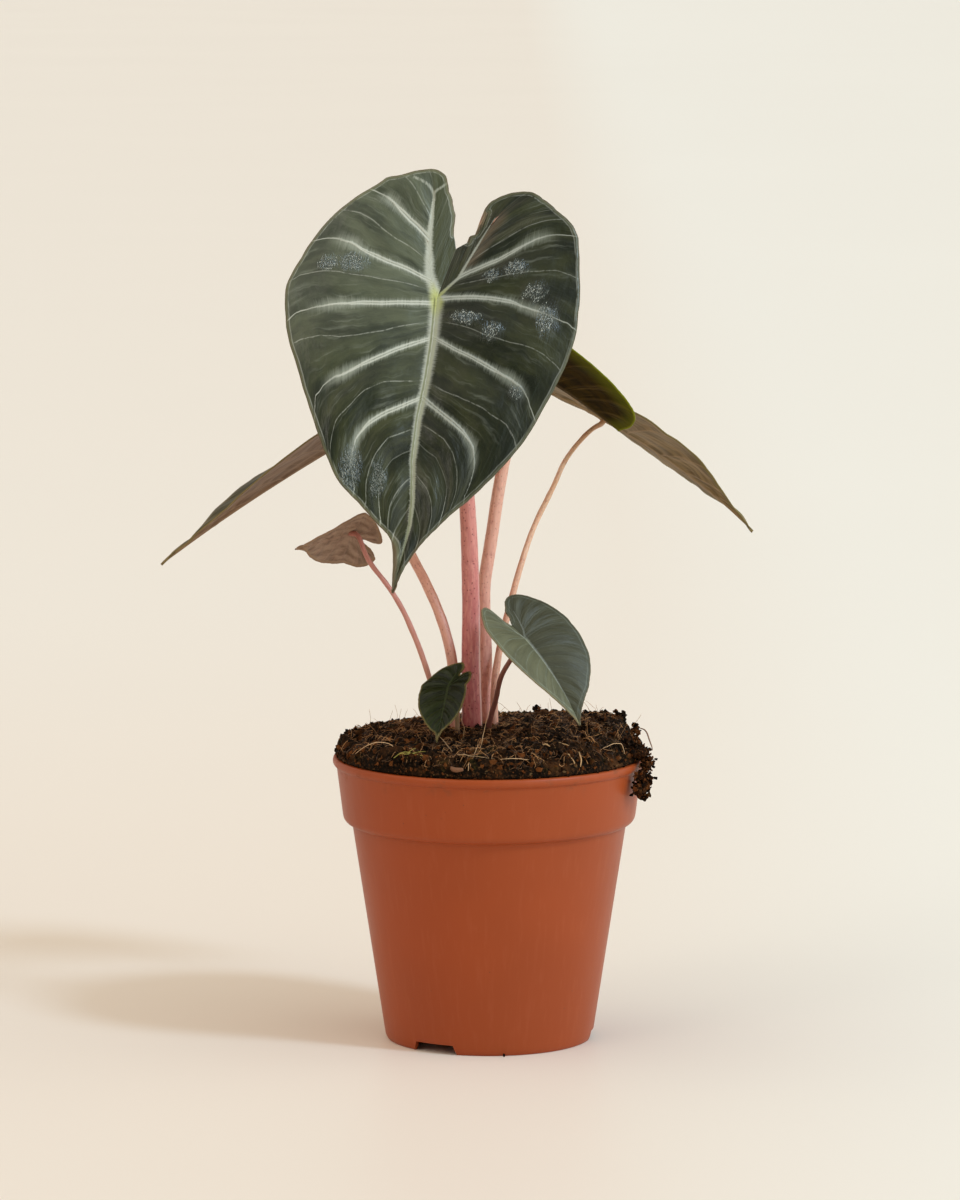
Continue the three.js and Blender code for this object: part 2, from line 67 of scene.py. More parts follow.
FORMS = {
    "big_left": (
        [(1, 0), (0.843, 0.026), (0.765, 0.1), (0.645, 0.226), (0.417, 0.362), (0.156, 0.467),
         (-0.087, 0.478), (-0.313, 0.354), (-0.428, 0.188), (-0.365, 0.091), (-0.287, 0.049),
         (-0.176, 0)],
        [(-0.078, 0.053), (-0.191, 0.095), (-0.33, 0.132)]),
    "big_right": (
        [(1, 0), (0.862, 0.047), (0.765, 0.113), (0.626, 0.226), (0.405, 0.361), (0.043, 0.469),
         (-0.27, 0.367), (-0.365, 0.261), (-0.4, 0.157), (-0.348, 0.057), (-0.252, 0.05),
         (-0.176, 0)],
        [(-0.077, 0.044), (-0.174, 0.06), (-0.3, 0.084)]),
    "common": (
        [(1, 0), (0.86, 0.04), (0.765, 0.105), (0.63, 0.225), (0.41, 0.36), (0.1, 0.455),
         (-0.17, 0.43), (-0.335, 0.31), (-0.42, 0.17), (-0.36, 0.075), (-0.27, 0.04),
         (-0.176, 0)],
        [(-0.078, 0.043), (-0.18, 0.075), (-0.3, 0.105)]),
    "curled": (
        [(1, 0), (1.06, 0.15), (1.01, 0.27), (0.82, 0.35), (0.52, 0.42), (0.14, 0.47),
         (-0.17, 0.44), (-0.335, 0.31), (-0.42, 0.17), (-0.36, 0.075), (-0.27, 0.04),
         (-0.176, 0)],
        [(-0.078, 0.043), (-0.18, 0.075), (-0.3, 0.105)]),
    "short": (
        [(1, 0), (0.86, 0.04), (0.765, 0.105), (0.63, 0.21), (0.41, 0.31), (0.14, 0.34),
         (-0.08, 0.29), (-0.2, 0.2), (-0.26, 0.12), (-0.26, 0.07), (-0.23, 0.03), (-0.176, 0)],
        [(-0.06, 0.03), (-0.12, 0.055), (-0.19, 0.085)]),
}

LEAVES = {
    "big_front": dict(
        forms=("big_left", "big_right"), width=(1.01, 1), attach=(-19.7, -15, 285.7),
        tip=(-36.1, -55, 179.1), facing=(0.21, -0.93, 0.32), droop=10, back=-35, lean=0.224,
        fold=(-3, 20.5), curl=(-23, -14.5), twist=0, wave=1, quilt=1.1, fine=(15, 34),
        sway=[(0, 0), (0.15, 0.006), (0.28, 0.003), (0.42, -0.006), (0.56, -0.003),
              (0.62, 0.007), (0.69, 0.018), (0.78, 0.023), (0.82, 0.019), (0.93, 0.007), (1, 0)],
        forks=[[(-0.327, 0.131), (-0.352, 0.138), (-0.374, 0.123), (-0.395, 0.108)],
               [(-0.346, 0.139), (-0.366, 0.158), (-0.38, 0.185), (-0.39, 0.225)]],
        nicks={0: [(7.35, 1.1, 0.09)], 1: [(10.33, 1.3, 0.09)]},
        crinkles=[(-0.075, -0.391, 0.028, 0.03), (-0.083, -0.311, 0.032, 0.045),
                  (0.061, 0.101, 0.022, 0.045), (0.1, 0.188, 0.03, 0.03),
                  (-0.097, 0.148, 0.022, 0.026), (-0.129, 0.213, 0.03, 0.035),
                  (-0.055, 0.305, 0.035, 0.033), (0.037, 0.367, 0.055, 0.03),
                  (0.294, 0.296, 0.022, 0.018), (0.623, -0.199, 0.07, 0.03),
                  (0.643, -0.111, 0.06, 0.022)],
        stalk=[(-6.6, -5), (-7, -7, 147), (-7, -8, 170), (-8.5, -11, 208.7), (-12.6, -8, 246.5)],
        radii=(4.3, 2.5), bend=12),
    "left": dict(
        forms=("common", "common"), width=(0.9, 0.9), attach=(-51.4, 20, 230.9),
        tip=(-125.2, 2, 182.6), facing=(-0.55, 0.02, 0.83), droop=8.2, back=30, lean=0,
        fold=(7.7, 17.8), curl=(-7.4, -6.8), twist=-5.6, wave=0.3, quilt=0.5, crumple=0.5,
        fine=(10, 20),
        stalk=[(-13.4, -8), (-14, -8, 145.5), (-18, -5, 161.7), (-24.1, -1, 175.7),
               (-29.1, 2, 184.9), (-39.8, 9, 206.4)],
        radii=(2.3, 1.7), bend=8),
    "lower_left": dict(
        forms=("common", "common"), width=(0.94, 1.03), attach=(-53.3, -10, 196),
        tip=(-73, -32, 192.7), facing=(-0.75, 0.66, 0.04), droop=12, back=24, lean=-0.65,
        fold=(13, -58), curl=(18, 19), twist=0, wave=0.5, quilt=0.4, crumple=0.8, fine=(8, 16),
        stalk=[(-18.4, -12), (-22.9, -14, 141.4), (-30.8, -15.5, 163.1), (-37.2, -16.5, 174.9),
               (-46, -16.5, 187)],
        radii=(1.3, 0.9), bend=5),
    "back_right": dict(
        forms=("curled", "curled"), width=(1.06, 0.72), attach=(15.5, 12, 256.7),
        tip=(49.5, 8, 233), facing=(0.58, 0.09, 0.81), droop=9.3, back=10, lean=0,
        fold=(49.6, 72), curl=(-9.9, 5), twist=0, wave=0.3, quilt=0.4, fine=(9, 18),
        stalk=[(-1.2, 6), (-1.6, 6, 149), (-2, 6, 172.5), (0.3, 7, 188.5), (5.2, 8, 219.2),
               (10.2, 9, 239)],
        radii=(3, 2.2), bend=9),
    "right": dict(
        forms=("common", "common"), width=(1, 1), attach=(44.9, 48, 233.4),
        tip=(101.8, 30, 191.9), facing=(0.56, -0.12, 0.82), droop=18.1, back=30.9, lean=0,
        fold=(21, -3.8), curl=(0.5, -18.2), twist=-15.4, wave=0.3, quilt=0.5, crumple=0.7,
        fine=(10, 20),
        stalk=[(1.9, 0), (2, 0, 135.2), (3.7, 3, 148.3), (8.9, 9, 169.6), (12.4, 14, 181.5),
               (17.1, 21, 194.3), (24.6, 26, 209.4), (29.3, 32, 218.9), (34.9, 38, 225.7),
               (40, 43.5, 230)],
        radii=(1.8, 0.85), bend=1.5),
    "small_right": dict(
        forms=("common", "common"), width=(1.07, 1.19), attach=(13.4, -30, 158.4),
        tip=(34, -43.5, 127.4), facing=(0.47, -0.65, 0.59), droop=25.9, back=-9.8, lean=-0.134,
        fold=(21.2, 26.5), curl=(-5.1, -28.7), twist=7.4, wave=0.4, quilt=0.25, fine=(9, 18),
        stalk=[(-0.5, -12), (1, -13.4, 127.7), (2.5, -15.2, 132.8), (4.4, -19.7, 142.1),
               (7.8, -23.9, 149)],
        radii=(1.1, 0.9), bend=5),
    "low_front": dict(
        forms=("common", "short"), width=(1.06, 1.08), attach=(-15.4, -27, 139.7),
        tip=(-19.9, -40, 120.4), facing=(-0.33, -0.75, 0.58), droop=1, back=-13.6, lean=0.8,
        fold=(7.3, 16.1), curl=(-7.7, -12.5), twist=0, wave=0.3, quilt=0.4, fine=(8, 16),
        stalk=[(-12, -19), (-12.5, -19.6, 129)],
        radii=(1.1, 0.8), bend=4),
}

# Where the big leaf's veins run: for each vein, the rib that it lies on at these shares of the
# way from midrib to margin
VEIN_SHARES = (0, 0.15, 0.3, 0.45, 0.6, 0.75, 0.9, 1)
VEINS = {
    0: {2: (1.99, 2.13, 2.22, 2.22, 2.15, 1.91, 1.69, 1.69),
        2.5: (2.45, 2.55, 2.65, 2.59, 2.52, 2.43, 2.26, 2.26),
        3: (3.08, 3.08, 3.1, 3.12, 3.08, 2.89, 2.6, 2.55),
        3.5: (3.32, 3.44, 3.55, 3.57, 3.51, 3.48, 3.34, 3.2),
        4: (4.03, 3.98, 3.94, 3.93, 3.94, 3.99, 3.97, 3.7),
        4.5: (4.42, 4.37, 4.34, 4.37, 4.46, 4.62, 4.72, 4.76),
        5: (4.86, 4.83, 4.84, 4.89, 4.96, 5.03, 5.1, 5.06),
        6: (5.67, 5.82, 5.87, 5.97, 6.12, 6.19, 6.21, 6.2),
        7: (7.03, 6.97, 6.93, 6.96, 7.01, 7.05, 7.08, 7.09)},
    1: {2: (2.19, 2.25, 2.37, 2.33, 2.28, 2.11, 2.0, 1.95),
        2.5: (2.56, 2.67, 2.75, 2.73, 2.64, 2.5, 2.3, 2.25),
        3: (3.06, 3.07, 3.09, 3.12, 3.12, 2.98, 2.66, 2.6),
        3.5: (3.33, 3.35, 3.44, 3.54, 3.62, 3.7, 3.74, 3.72),
        4: (4.03, 4, 4.03, 4.06, 4.12, 4.14, 4.09, 4.07),
        4.5: (4.44, 4.44, 4.41, 4.43, 4.5, 4.54, 4.56, 4.56),
        5: (4.97, 4.96, 4.96, 4.93, 4.9, 4.92, 4.95, 4.95),
        6: (6.01, 5.87, 5.85, 5.94, 6.05, 6.09, 6.04, 6.02)},
}

# How far the margin stands out, in millimetres, at each half rib from the tip round to the notch
MARGINS = {
    "big_front": (
        (0, 0.1, -0.1, 0.2, 0.75, 0.85, 1.9, 1, 0.3, 0, 1.05, 1.15, 0, 1.3, 0.65, -0.4, -0.65,
         0.95, -0.4, -0.2, 0.65, -0.5, 0),
        (0, -0.2, 0.45, 0.45, 0.2, -0.2, 0.3, 0.45, 0.65, 0.25, -0.1, -0.65, 0.45, -0.4, -0.2,
         -0.1, 0.95, 1.1, 1, 0.5, 0, -1, 0)),
    "small_right": (
        (0, 0.2, 0.55, 0.55, 0.35, 0.2, -0.1, 0, 0.1, 0.4, 0.1, 0, -0.2, -0.3, 0.3, 0.5, 0, 0, 0,
         0, 0, 0, 0),
        (0, 0.6, 1.3, 1.5, 1.5, 1.6, 1.4, 1.3, 0.8, -0.4, -1.8, -1.8, -1.3, -0.1, 1.2, 2, 1.5,
         0.8, 0.2, 0.5, 0, 0, 0)),
    "low_front": (
        (0, 0, 0, 0.3, 1, 1, 1, 0.9, 0.9, 0.4, -0.5, -0.7, -0.3, 0.5, 0.6, 0, 0, 0, 0, 0, 0, 0,
         0),
        (0,) * HALF_RIBS),
}

# What a blade looks like unless the next table says otherwise
COMMON_LOOK = dict(loop=0.4, blush=(124, 104, 84), blush_share=0.0, shade=0.0, fringe_width=1.5,
                   lift=0.0)

# Colours of the blades, as seen on a screen from 0 to 255, widths in millimetres and shares
# shade is a share of painted shade over the right half, and lift a share of painted sheen over the
# left
# sheen is a painted reflection drawn in arcs, and groove and ridge are painted shade and highlight
# by the midrib
BLADE_LOOKS = {
    "big_front": dict(
        dark=(20, 28, 14), olive=(57, 61, 33), sheen=(60, 72, 62), vein=(190, 192, 178),
        halo=(148, 153, 138), midrib=(178, 180, 164), heart=(180, 184, 112),
        rim=(96, 80, 56), fringe=(118, 118, 90), under=(104, 74, 58),
        under_light=(138, 100, 80), under_vein=(176, 128, 106), band=1.05, feather=2.8,
        spine=3.5, lobe_spine=(3.0, 1.0), second=0.34, loop=0.35, gloss=0.3, shine=0.33,
        vein_share=1.0, groove=(102, 106, 62), ridge=(190, 192, 156), blush_share=0.6,
        shade=0.33, lift=0.46),
    "left": dict(
        dark=(46, 45, 26), olive=(100, 90, 60), sheen=(60, 58, 40), vein=(150, 138, 110),
        halo=(104, 98, 74), midrib=(150, 120, 96), heart=(150, 130, 90), rim=(128, 112, 72),
        fringe=(120, 104, 76), under=(108, 82, 62), under_light=(140, 112, 88),
        under_vein=(168, 138, 108), band=0.5, feather=0.8, spine=1.8, lobe_spine=(1.4, 1.4),
        second=0.5, gloss=0.42, shine=0.1, vein_share=0.5, groove=(110, 92, 66),
        ridge=(160, 134, 106)),
    "lower_left": dict(
        dark=(56, 62, 34), olive=(94, 90, 56), sheen=(96, 92, 76), vein=(160, 140, 110),
        halo=(120, 110, 84), midrib=(170, 130, 108), heart=(150, 110, 84),
        rim=(150, 116, 90), fringe=(150, 124, 96), under=(120, 94, 76),
        under_light=(164, 136, 114), under_vein=(176, 140, 118), band=0.3, feather=0.5,
        spine=1.0, lobe_spine=(0.8, 0.8), second=0.4, gloss=0.45, shine=0.2, vein_share=0.3,
        groove=(120, 96, 72), ridge=(176, 140, 116)),
    # the back right leaf: its browns darkened as painted shade, its wide yellow-green fringe and
    # rim painted backlight
    "back_right": dict(
        dark=(20, 15, 0), olive=(54, 44, 2), sheen=(52, 44, 12), vein=(140, 120, 70),
        halo=(110, 104, 40), midrib=(168, 116, 96), heart=(160, 140, 60),
        rim=(122, 124, 20), fringe=(98, 102, 8), under=(34, 24, 3), under_light=(58, 44, 6),
        under_vein=(120, 96, 50), band=0.34, feather=0.6, spine=1.3, lobe_spine=(1.0, 1.0),
        second=0.15, gloss=0.36, shine=0.1, vein_share=0.2, groove=(84, 66, 30),
        ridge=(172, 120, 98), fringe_width=7.5),
    "right": dict(
        dark=(50, 48, 20), olive=(96, 88, 46), sheen=(96, 90, 64), vein=(170, 150, 110),
        halo=(120, 108, 74), midrib=(168, 134, 100), heart=(170, 150, 90),
        rim=(120, 100, 60), fringe=(110, 104, 50), under=(94, 76, 44),
        under_light=(142, 119, 80), under_vein=(176, 146, 108), band=0.34, feather=0.6,
        spine=1.2, lobe_spine=(1.0, 1.0), second=0.3, gloss=0.42, shine=0.2,
        vein_share=0.42, groove=(120, 100, 62), ridge=(178, 148, 112), fringe_width=2.0),
    "small_right": dict(
        dark=(80, 80, 58), olive=(98, 98, 73), sheen=(100, 104, 88), vein=(142, 148, 130),
        halo=(108, 112, 92), midrib=(146, 150, 136), heart=(150, 154, 128),
        rim=(132, 120, 86), fringe=(96, 98, 78), under=(96, 72, 58),
        under_light=(126, 96, 80), under_vein=(160, 120, 100), band=0.3, feather=0.9,
        spine=1.05, lobe_spine=(0.5, 0.5), second=0.18, loop=0.55, gloss=0.46, shine=0.3,
        vein_share=0.28, groove=(120, 124, 104), ridge=(152, 155, 142), shade=0.5,
        fringe_width=1.0),
    "low_front": dict(
        dark=(12, 21, 2), olive=(34, 43, 4), sheen=(34, 42, 18), vein=(50, 60, 22),
        halo=(34, 42, 12), midrib=(44, 54, 16), heart=(52, 60, 20), rim=(118, 100, 58),
        fringe=(80, 76, 30), under=(70, 56, 34), under_light=(96, 80, 50),
        under_vein=(120, 100, 70), band=0.22, feather=0.5, spine=0.8, lobe_spine=(0.6, 0.6),
        second=0.05, loop=0.05, gloss=0.24, shine=0.22, vein_share=0.1, groove=(24, 30, 6),
        ridge=(50, 58, 22), shade=0.1, fringe_width=0.8),
}

# Colours of a stalk at its base and top, how many speckles it has, and its pale sheath edge with
# painted highlight
STALK_LOOKS = {
    "big_front": ((178, 86, 88), (214, 144, 128), 0.8, 1.0),
    "left": ((210, 146, 126), (216, 160, 136), 0.6, 0.0),
    "lower_left": ((206, 146, 124), (180, 116, 102), 0.4, 0.0),
    "back_right": ((204, 138, 122), (220, 166, 142), 0.4, 0.0),
    "right": ((208, 142, 118), (222, 178, 142), 0.6, 0.0),
    "small_right": ((104, 54, 46), (130, 80, 64), 0.2, 0.0),
    "low_front": ((160, 110, 84), (120, 100, 60), 0.2, 0.0),
}


# Shape helpers

def unit(vector):
    return vector / np.linalg.norm(vector)


def spline(points, places):
    """Points on a uniform Catmull-Rom curve, one unit of place from point to point."""
    points = np.array(points, float)
    last = len(points) - 1
    first = np.clip(np.floor(places).astype(int), 0, last)
    share = (places - first)[..., None]
    before, here = points[np.maximum(first - 1, 0)], points[first]
    following, after = points[np.minimum(first + 1, last)], points[np.minimum(first + 2, last)]
    start, end = (following - before) / 2, (after - here) / 2
    return ((2 * here - 2 * following + start + end) * share ** 3
            + (3 * following - 3 * here - 2 * start - end) * share ** 2 + start * share + here)


def smoothstep(value, low, high):
    share = np.clip((value - low) / (high - low), 0, 1)
    return share * share * (3 - 2 * share)


def rough(points, size, octaves=1, seed=0.0):
    """Fixed noise around 0 at points in millimetres, with features of the given size."""
    total = np.zeros(len(points))
    for octave in range(octaves):
        scale = 2.03 ** octave / size
        shift = seed + 17.3 * octave
        total += [noise.noise(Vector(point) * scale + Vector((shift, shift, shift))) / 1.7 ** octave
                  for point in points.tolist()]
    return total


def put(bm_verts, points):
    for vert, point in zip(bm_verts, points.tolist()):
        vert.co = point


def places_of(bm_verts):
    return np.array([vert.co[:] for vert in bm_verts])


def new_object(name, bm, material=None):
    """Puts a bmesh into the scene as an object of its own."""
    mesh = bpy.data.meshes.new(name)
    bm.to_mesh(mesh)
    bm.free()
    if material:
        mesh.materials.append(material)
    made = bpy.data.objects.new(name, mesh)
    bpy.context.scene.collection.objects.link(made)
    return made


def make_piece(name, bm, material, replaced=(), smooth=True):
    """Turns a bmesh in millimetres into a piece of the plant."""
    bmesh.ops.scale(bm, vec=(MM, MM, MM), verts=bm.verts[:])
    piece = new_object(name, bm, material)
    if smooth:
        piece.data.shade_smooth()
    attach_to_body(piece, "root")
    if replaced:
        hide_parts(*replaced)
    return piece


def carry_frames(path):
    """Two unit vectors across a path at each of its points, turning as little as they can."""
    tangents = np.gradient(path, axis=0)
    tangents /= np.maximum(np.linalg.norm(tangents, axis=1), 1e-9)[:, None]
    start = np.array((0, -1.0, 0)) if abs(tangents[0][1]) < 0.9 else np.array((1.0, 0, 0))
    normals = []
    for tangent in tangents:
        start = unit(start - tangent * (start @ tangent))
        normals.append(start)
    normals = np.array(normals)
    return normals, np.cross(tangents, normals)


def add_tube(bm, path, radii, sides, layers=None):
    """Sweeps a ring along a path. The ends close where their radius is nothing."""
    rings = len(path) - 1
    made = bmesh.ops.create_grid(bm, x_segments=rings, y_segments=sides, size=0.5)["verts"]
    grid = places_of(made)
    ring = np.rint((grid[:, 0] + 0.5) * rings).astype(int)
    turn = (grid[:, 1] + 0.5) * 2 * math.pi
    normals, across = carry_frames(path)
    reach = np.array(radii)[ring][:, None]
    put(made, path[ring] + reach * (normals[ring] * np.cos(turn)[:, None]
                                    + across[ring] * np.sin(turn)[:, None]))
    if layers:
        run = np.concatenate([[0], np.cumsum(np.linalg.norm(np.diff(path, axis=0), axis=1))])
        for vert, row, angle in zip(made, ring, turn):
            vert[layers["run"]] = run[row]
            vert[layers["share"]] = run[row] / run[-1]
            vert[layers["front"]] = math.cos(angle)
            vert[layers["flank"]] = math.sin(angle)
    return made


class Heap:
    """Gathers many small shapes into one bmesh, a part at a time, which is quicker."""

    def __init__(self, *names):
        self.names = names
        self.whole = bmesh.new()
        self.open_part()

    def open_part(self):
        self.part, self.count = bmesh.new(), 0
        self.layers = {name: self.part.verts.layers.float.new(name) for name in self.names}

    def close_part(self):
        mesh = bpy.data.meshes.new("part")
        self.part.to_mesh(mesh)
        self.part.free()
        self.whole.from_mesh(mesh)
        bpy.data.meshes.remove(mesh)
        self.open_part()

    def mark(self, verts, name, value):
        """Ends one shape, with a value on its vertices."""
        for vert in verts:
            vert[self.layers[name]] = value
        self.count += 1
        if self.count == SHAPES_A_PART:
            self.close_part()

    def finished(self):
        self.close_part()
        self.part.free()
        return self.whole


def close_up(bm):
    bmesh.ops.remove_doubles(bm, verts=bm.verts[:], dist=1e-4)
    bmesh.ops.dissolve_degenerate(bm, dist=1e-6, edges=bm.edges[:])
    bmesh.ops.recalc_face_normals(bm, faces=bm.faces[:])


# Materials. Their patterns are in metres, and a blade's and a stalk's in millimetres

BLADE_FACTS = ("rib", "share", "gap", "edge", "middle", "along", "run", "right", "crinkle", "fork")
STALK_FACTS = ("run", "share", "front", "flank")
DUSTY_HEIGHTS = (0.097, 0.1085)


def tone(red, green, blue):
    """A screen colour as the renderer's own light values."""
    parts = [value / 255 for value in (red, green, blue)]
    return (*[part / 12.92 if part <= 0.04045 else ((part + 0.055) / 1.055) ** 2.4
              for part in parts], 1)


class Value:
    """A socket of numbers that takes part in plain sums."""

    def __init__(self, graph, socket):
        self.graph = graph
        self.socket = socket

    def __add__(self, other):
        return self.graph.math("ADD", self, other)

    def __radd__(self, other):
        return self.graph.math("ADD", other, self)

    def __sub__(self, other):
        return self.graph.math("SUBTRACT", self, other)

    def __rsub__(self, other):
        return self.graph.math("SUBTRACT", other, self)

    def __mul__(self, other):
        return self.graph.math("MULTIPLY", self, other)

    def __rmul__(self, other):
        return self.graph.math("MULTIPLY", other, self)

    def __truediv__(self, other):
        return self.graph.math("DIVIDE", self, other)

    def __pow__(self, other):
        return self.graph.math("POWER", self, other)

    def __abs__(self):
        return self.graph.math("ABSOLUTE", self)


class Graph:
    """The nodes of one material, or of the world."""

    def __init__(self, name, tree=None):
        self.material = None if tree else bpy.data.materials.new(name)
        if self.material:
            self.material.use_nodes = True
        self.tree = tree or self.material.node_tree
        self.tree.nodes.clear()

    def node(self, kind, settings=None, sockets=None, out=0):
        made = self.tree.nodes.new(kind)
        for key, value in (settings or {}).items():
            setattr(made, key, value)
        for key, value in (sockets or {}).items():
            if isinstance(value, Value):
                self.tree.links.new(value.socket, made.inputs[key])
            else:
                made.inputs[key].default_value = value
        return Value(self, made.outputs[out]) if made.outputs else made

    def math(self, operation, *values):
        return self.node("ShaderNodeMath", {"operation": operation}, dict(enumerate(values)))

    def smooth(self, value, low, high, start=0.0, end=1.0):
        return self.node("ShaderNodeMapRange", {"interpolation_type": "SMOOTHSTEP"},
                         {0: value, 1: low, 2: high, 3: start, 4: end})

    def mix(self, factor, first, second):
        return self.node("ShaderNodeMix", {"data_type": "RGBA"},
                         {0: factor, 6: first, 7: second}, out=2)

    def layers(self, base, *coats):
        """A base colour under coats from the lowest up, each a share and a colour."""
        for share, colour in coats:
            base = self.mix(share, base, colour)
        return base

    def vector(self, x, y, z):
        return self.node("ShaderNodeCombineXYZ", None, {0: x, 1: y, 2: z})

    def part(self, vector, axis):
        return self.node("ShaderNodeSeparateXYZ", None, {0: vector}, out=axis)

    def towards(self, way, aim):
        """How far a way agrees with a fixed aim, from -1 to 1."""
        return self.node("ShaderNodeVectorMath", {"operation": "DOT_PRODUCT"},
                         {0: way, 1: Vector(aim).normalized()}, out=1)

    def noise(self, place, scale, detail=2.0, roughness=0.5):
        return self.node("ShaderNodeTexNoise", None, {
            "Vector": place, "Scale": scale, "Detail": detail, "Roughness": roughness})

    def cells(self, place, scale):
        return self.node("ShaderNodeTexVoronoi", None, {"Vector": place, "Scale": scale})

    def place(self):
        return self.node("ShaderNodeTexCoord", out=3)

    def attribute(self, name):
        return self.node("ShaderNodeAttribute", {"attribute_name": name}, out=2)

    def stretched(self, place, scale):
        return self.node("ShaderNodeVectorMath", {"operation": "MULTIPLY"}, {0: place, 1: scale})

    def bump(self, height, strength, distance):
        return self.node("ShaderNodeBump", None, {
            "Height": height, "Strength": strength, "Distance": distance})

    def surface(self, colour, roughness, normal=None, fixed=None):
        """The shader itself. Values that don't change over the surface come in fixed."""
        sockets = {"Base Color": colour, "Roughness": roughness, **(fixed or {})}
        if normal:
            sockets["Normal"] = normal
        shader = self.node("ShaderNodeBsdfPrincipled", None, sockets)
        self.node("ShaderNodeOutputMaterial", None, {"Surface": shader})
        return self.material


def blade_marks(g, look):
    """Where a blade's veins, hairs and margin lie, from the facts that its mesh holds."""
    on = SimpleNamespace(**{fact: g.attribute(fact) for fact in (*BLADE_FACTS, "under")})
    rib, share, run, right, along, middle = on.rib, on.share, on.run, on.right, on.along, on.middle
    place = on.place = g.place()

    # hairs cross the veins, flow runs along them and arcs bend round the margin
    ground = on.ground = g.noise(place, 60, 3, 0.55)
    crossing = g.vector(run * 1.5, rib * 1.6 + ground * 5, 8.9)
    hair = on.hair = g.smooth(g.noise(crossing, 1.4, 3, 0.65), 0.22, 0.78)
    drift = ground * 0.9
    on.flow = g.noise(g.vector(run * 0.035, rib * 2.6 + drift, right * 5), 1.0, 5, 0.62)
    on.thread = g.noise(g.vector(run * 0.05, rib * 13 + drift * 5, right * 9), 1.0, 4, 0.62)
    on.arcs = g.noise(g.vector(run * 0.6, rib * 0.7, right * 7), 1.0, 2, 0.6)

    # each vein is a pair of pale lines in a soft halo, then one feathered band, then a thread
    waver = (g.noise(g.vector(run * 0.12, rib * 0.5, 1.7), 1.0, 2) - 0.5) * 0.1
    wavy = rib + waver * share
    first = on.first = abs(wavy - g.math("ROUND", wavy)) * on.gap
    second = abs(wavy - g.math("FLOOR", wavy) - 0.5) * on.gap
    inner = g.smooth(rib + right * 0.9, 7.4, 7.8, 1.0, 0.0)
    strong = g.smooth(rib, 2.3, 2.8) * inner * g.smooth(share, 0.6, 0.86, 1.0, 0.0)
    band = look["band"]
    apart = g.smooth(share, 0.36, 0.62, 0.46, 0.0) * band
    on.lines = strong * g.smooth(abs(first - apart), band * 0.05, band * (0.34 + hair * 0.5),
                                 1.0, 0.0)
    reach = (0.75 + hair * 0.5) * (0.85 + 0.5 * g.smooth(share, 0.35, 0.6)) * look["feather"]
    on.halo = strong * g.smooth(first, 0.0, reach, 1.0, 0.0)
    tail = g.smooth(first, 0.08, 0.28, 1.0, 0.0) * (0.25 + 0.75 * inner)
    tail = tail * g.smooth(share, 0.6, 0.8, 0.25, 1.0)
    on.vein = g.math("MAXIMUM", on.lines * 0.92, tail * 0.7) * look["vein_share"]
    partial = g.smooth(on.arcs, 0.3, 0.55)
    thin = g.smooth(second, 0.08, 0.3, 1.0, 0.0) * g.smooth(share, 0.03, 0.14)
    on.thin = thin * (0.2 + 0.8 * partial) * look["second"] * inner
    seam = abs(on.edge - 1.35 - (g.noise(place, 70, 1) - 0.5) * 0.9)
    on.loop = g.smooth(seam, 0.06, 0.34, 1.0, 0.0) * look["loop"] * partial
    # a pale band inside the margin, which on the back right leaf is a wide band of painted
    # backlight
    on.pale_edge = g.smooth(on.edge, 0.5, look["fringe_width"], 1.0, 0.0) * (0.3 + ground * 0.7)

    # the midrib and the lobes' ribs, broad at the heart of the leaf and thin at their ends
    ahead = g.smooth(along, -1.0, 1.0)
    tall = g.math("MAXIMUM", along / look["length"], -0.5)
    onward = g.math("MAXIMUM", 1 - tall, 0.01) ** 0.85 * look["spine"]
    left_lobe, right_lobe = look["lobe_spine"]
    backward = (left_lobe + (right_lobe - left_lobe) * right) * g.math(
        "MAXIMUM", 1 + 2.3 * tall, 0.26)
    ruffle = g.noise(g.vector(along * 2.4, middle * 0.35, right * 3), 1.0, 2, 0.6)
    spine = (onward * ahead + backward * (1 - ahead)) * (0.5 + ruffle * 0.95)
    on.midrib = g.math("MAXIMUM", g.smooth(middle, spine * 0.3, spine * 1.1, 1.0, 0.0),
                       g.smooth(on.fork, 0.1, 0.55 + hair * 0.5, 0.75, 0.0))
    signed = middle * (right * 2 - 1) / look["spine"]
    # painted shade beside the midrib on the left half, and a painted highlight beside it on the
    # right half
    on.groove = g.smooth(abs(signed + 0.25 - tall * 0.14), 0.04, 0.15, 1.0, 0.0) * ahead
    on.ridge = g.smooth(abs(signed - 0.2), 0.05, 0.32, 1.0, 0.0) * ahead
    on.heart = g.smooth(middle + abs(along - 1.4) * 0.7, look["spine"] * 0.4,
                        look["spine"] * 1.9, 1.0, 0.0)
    return on


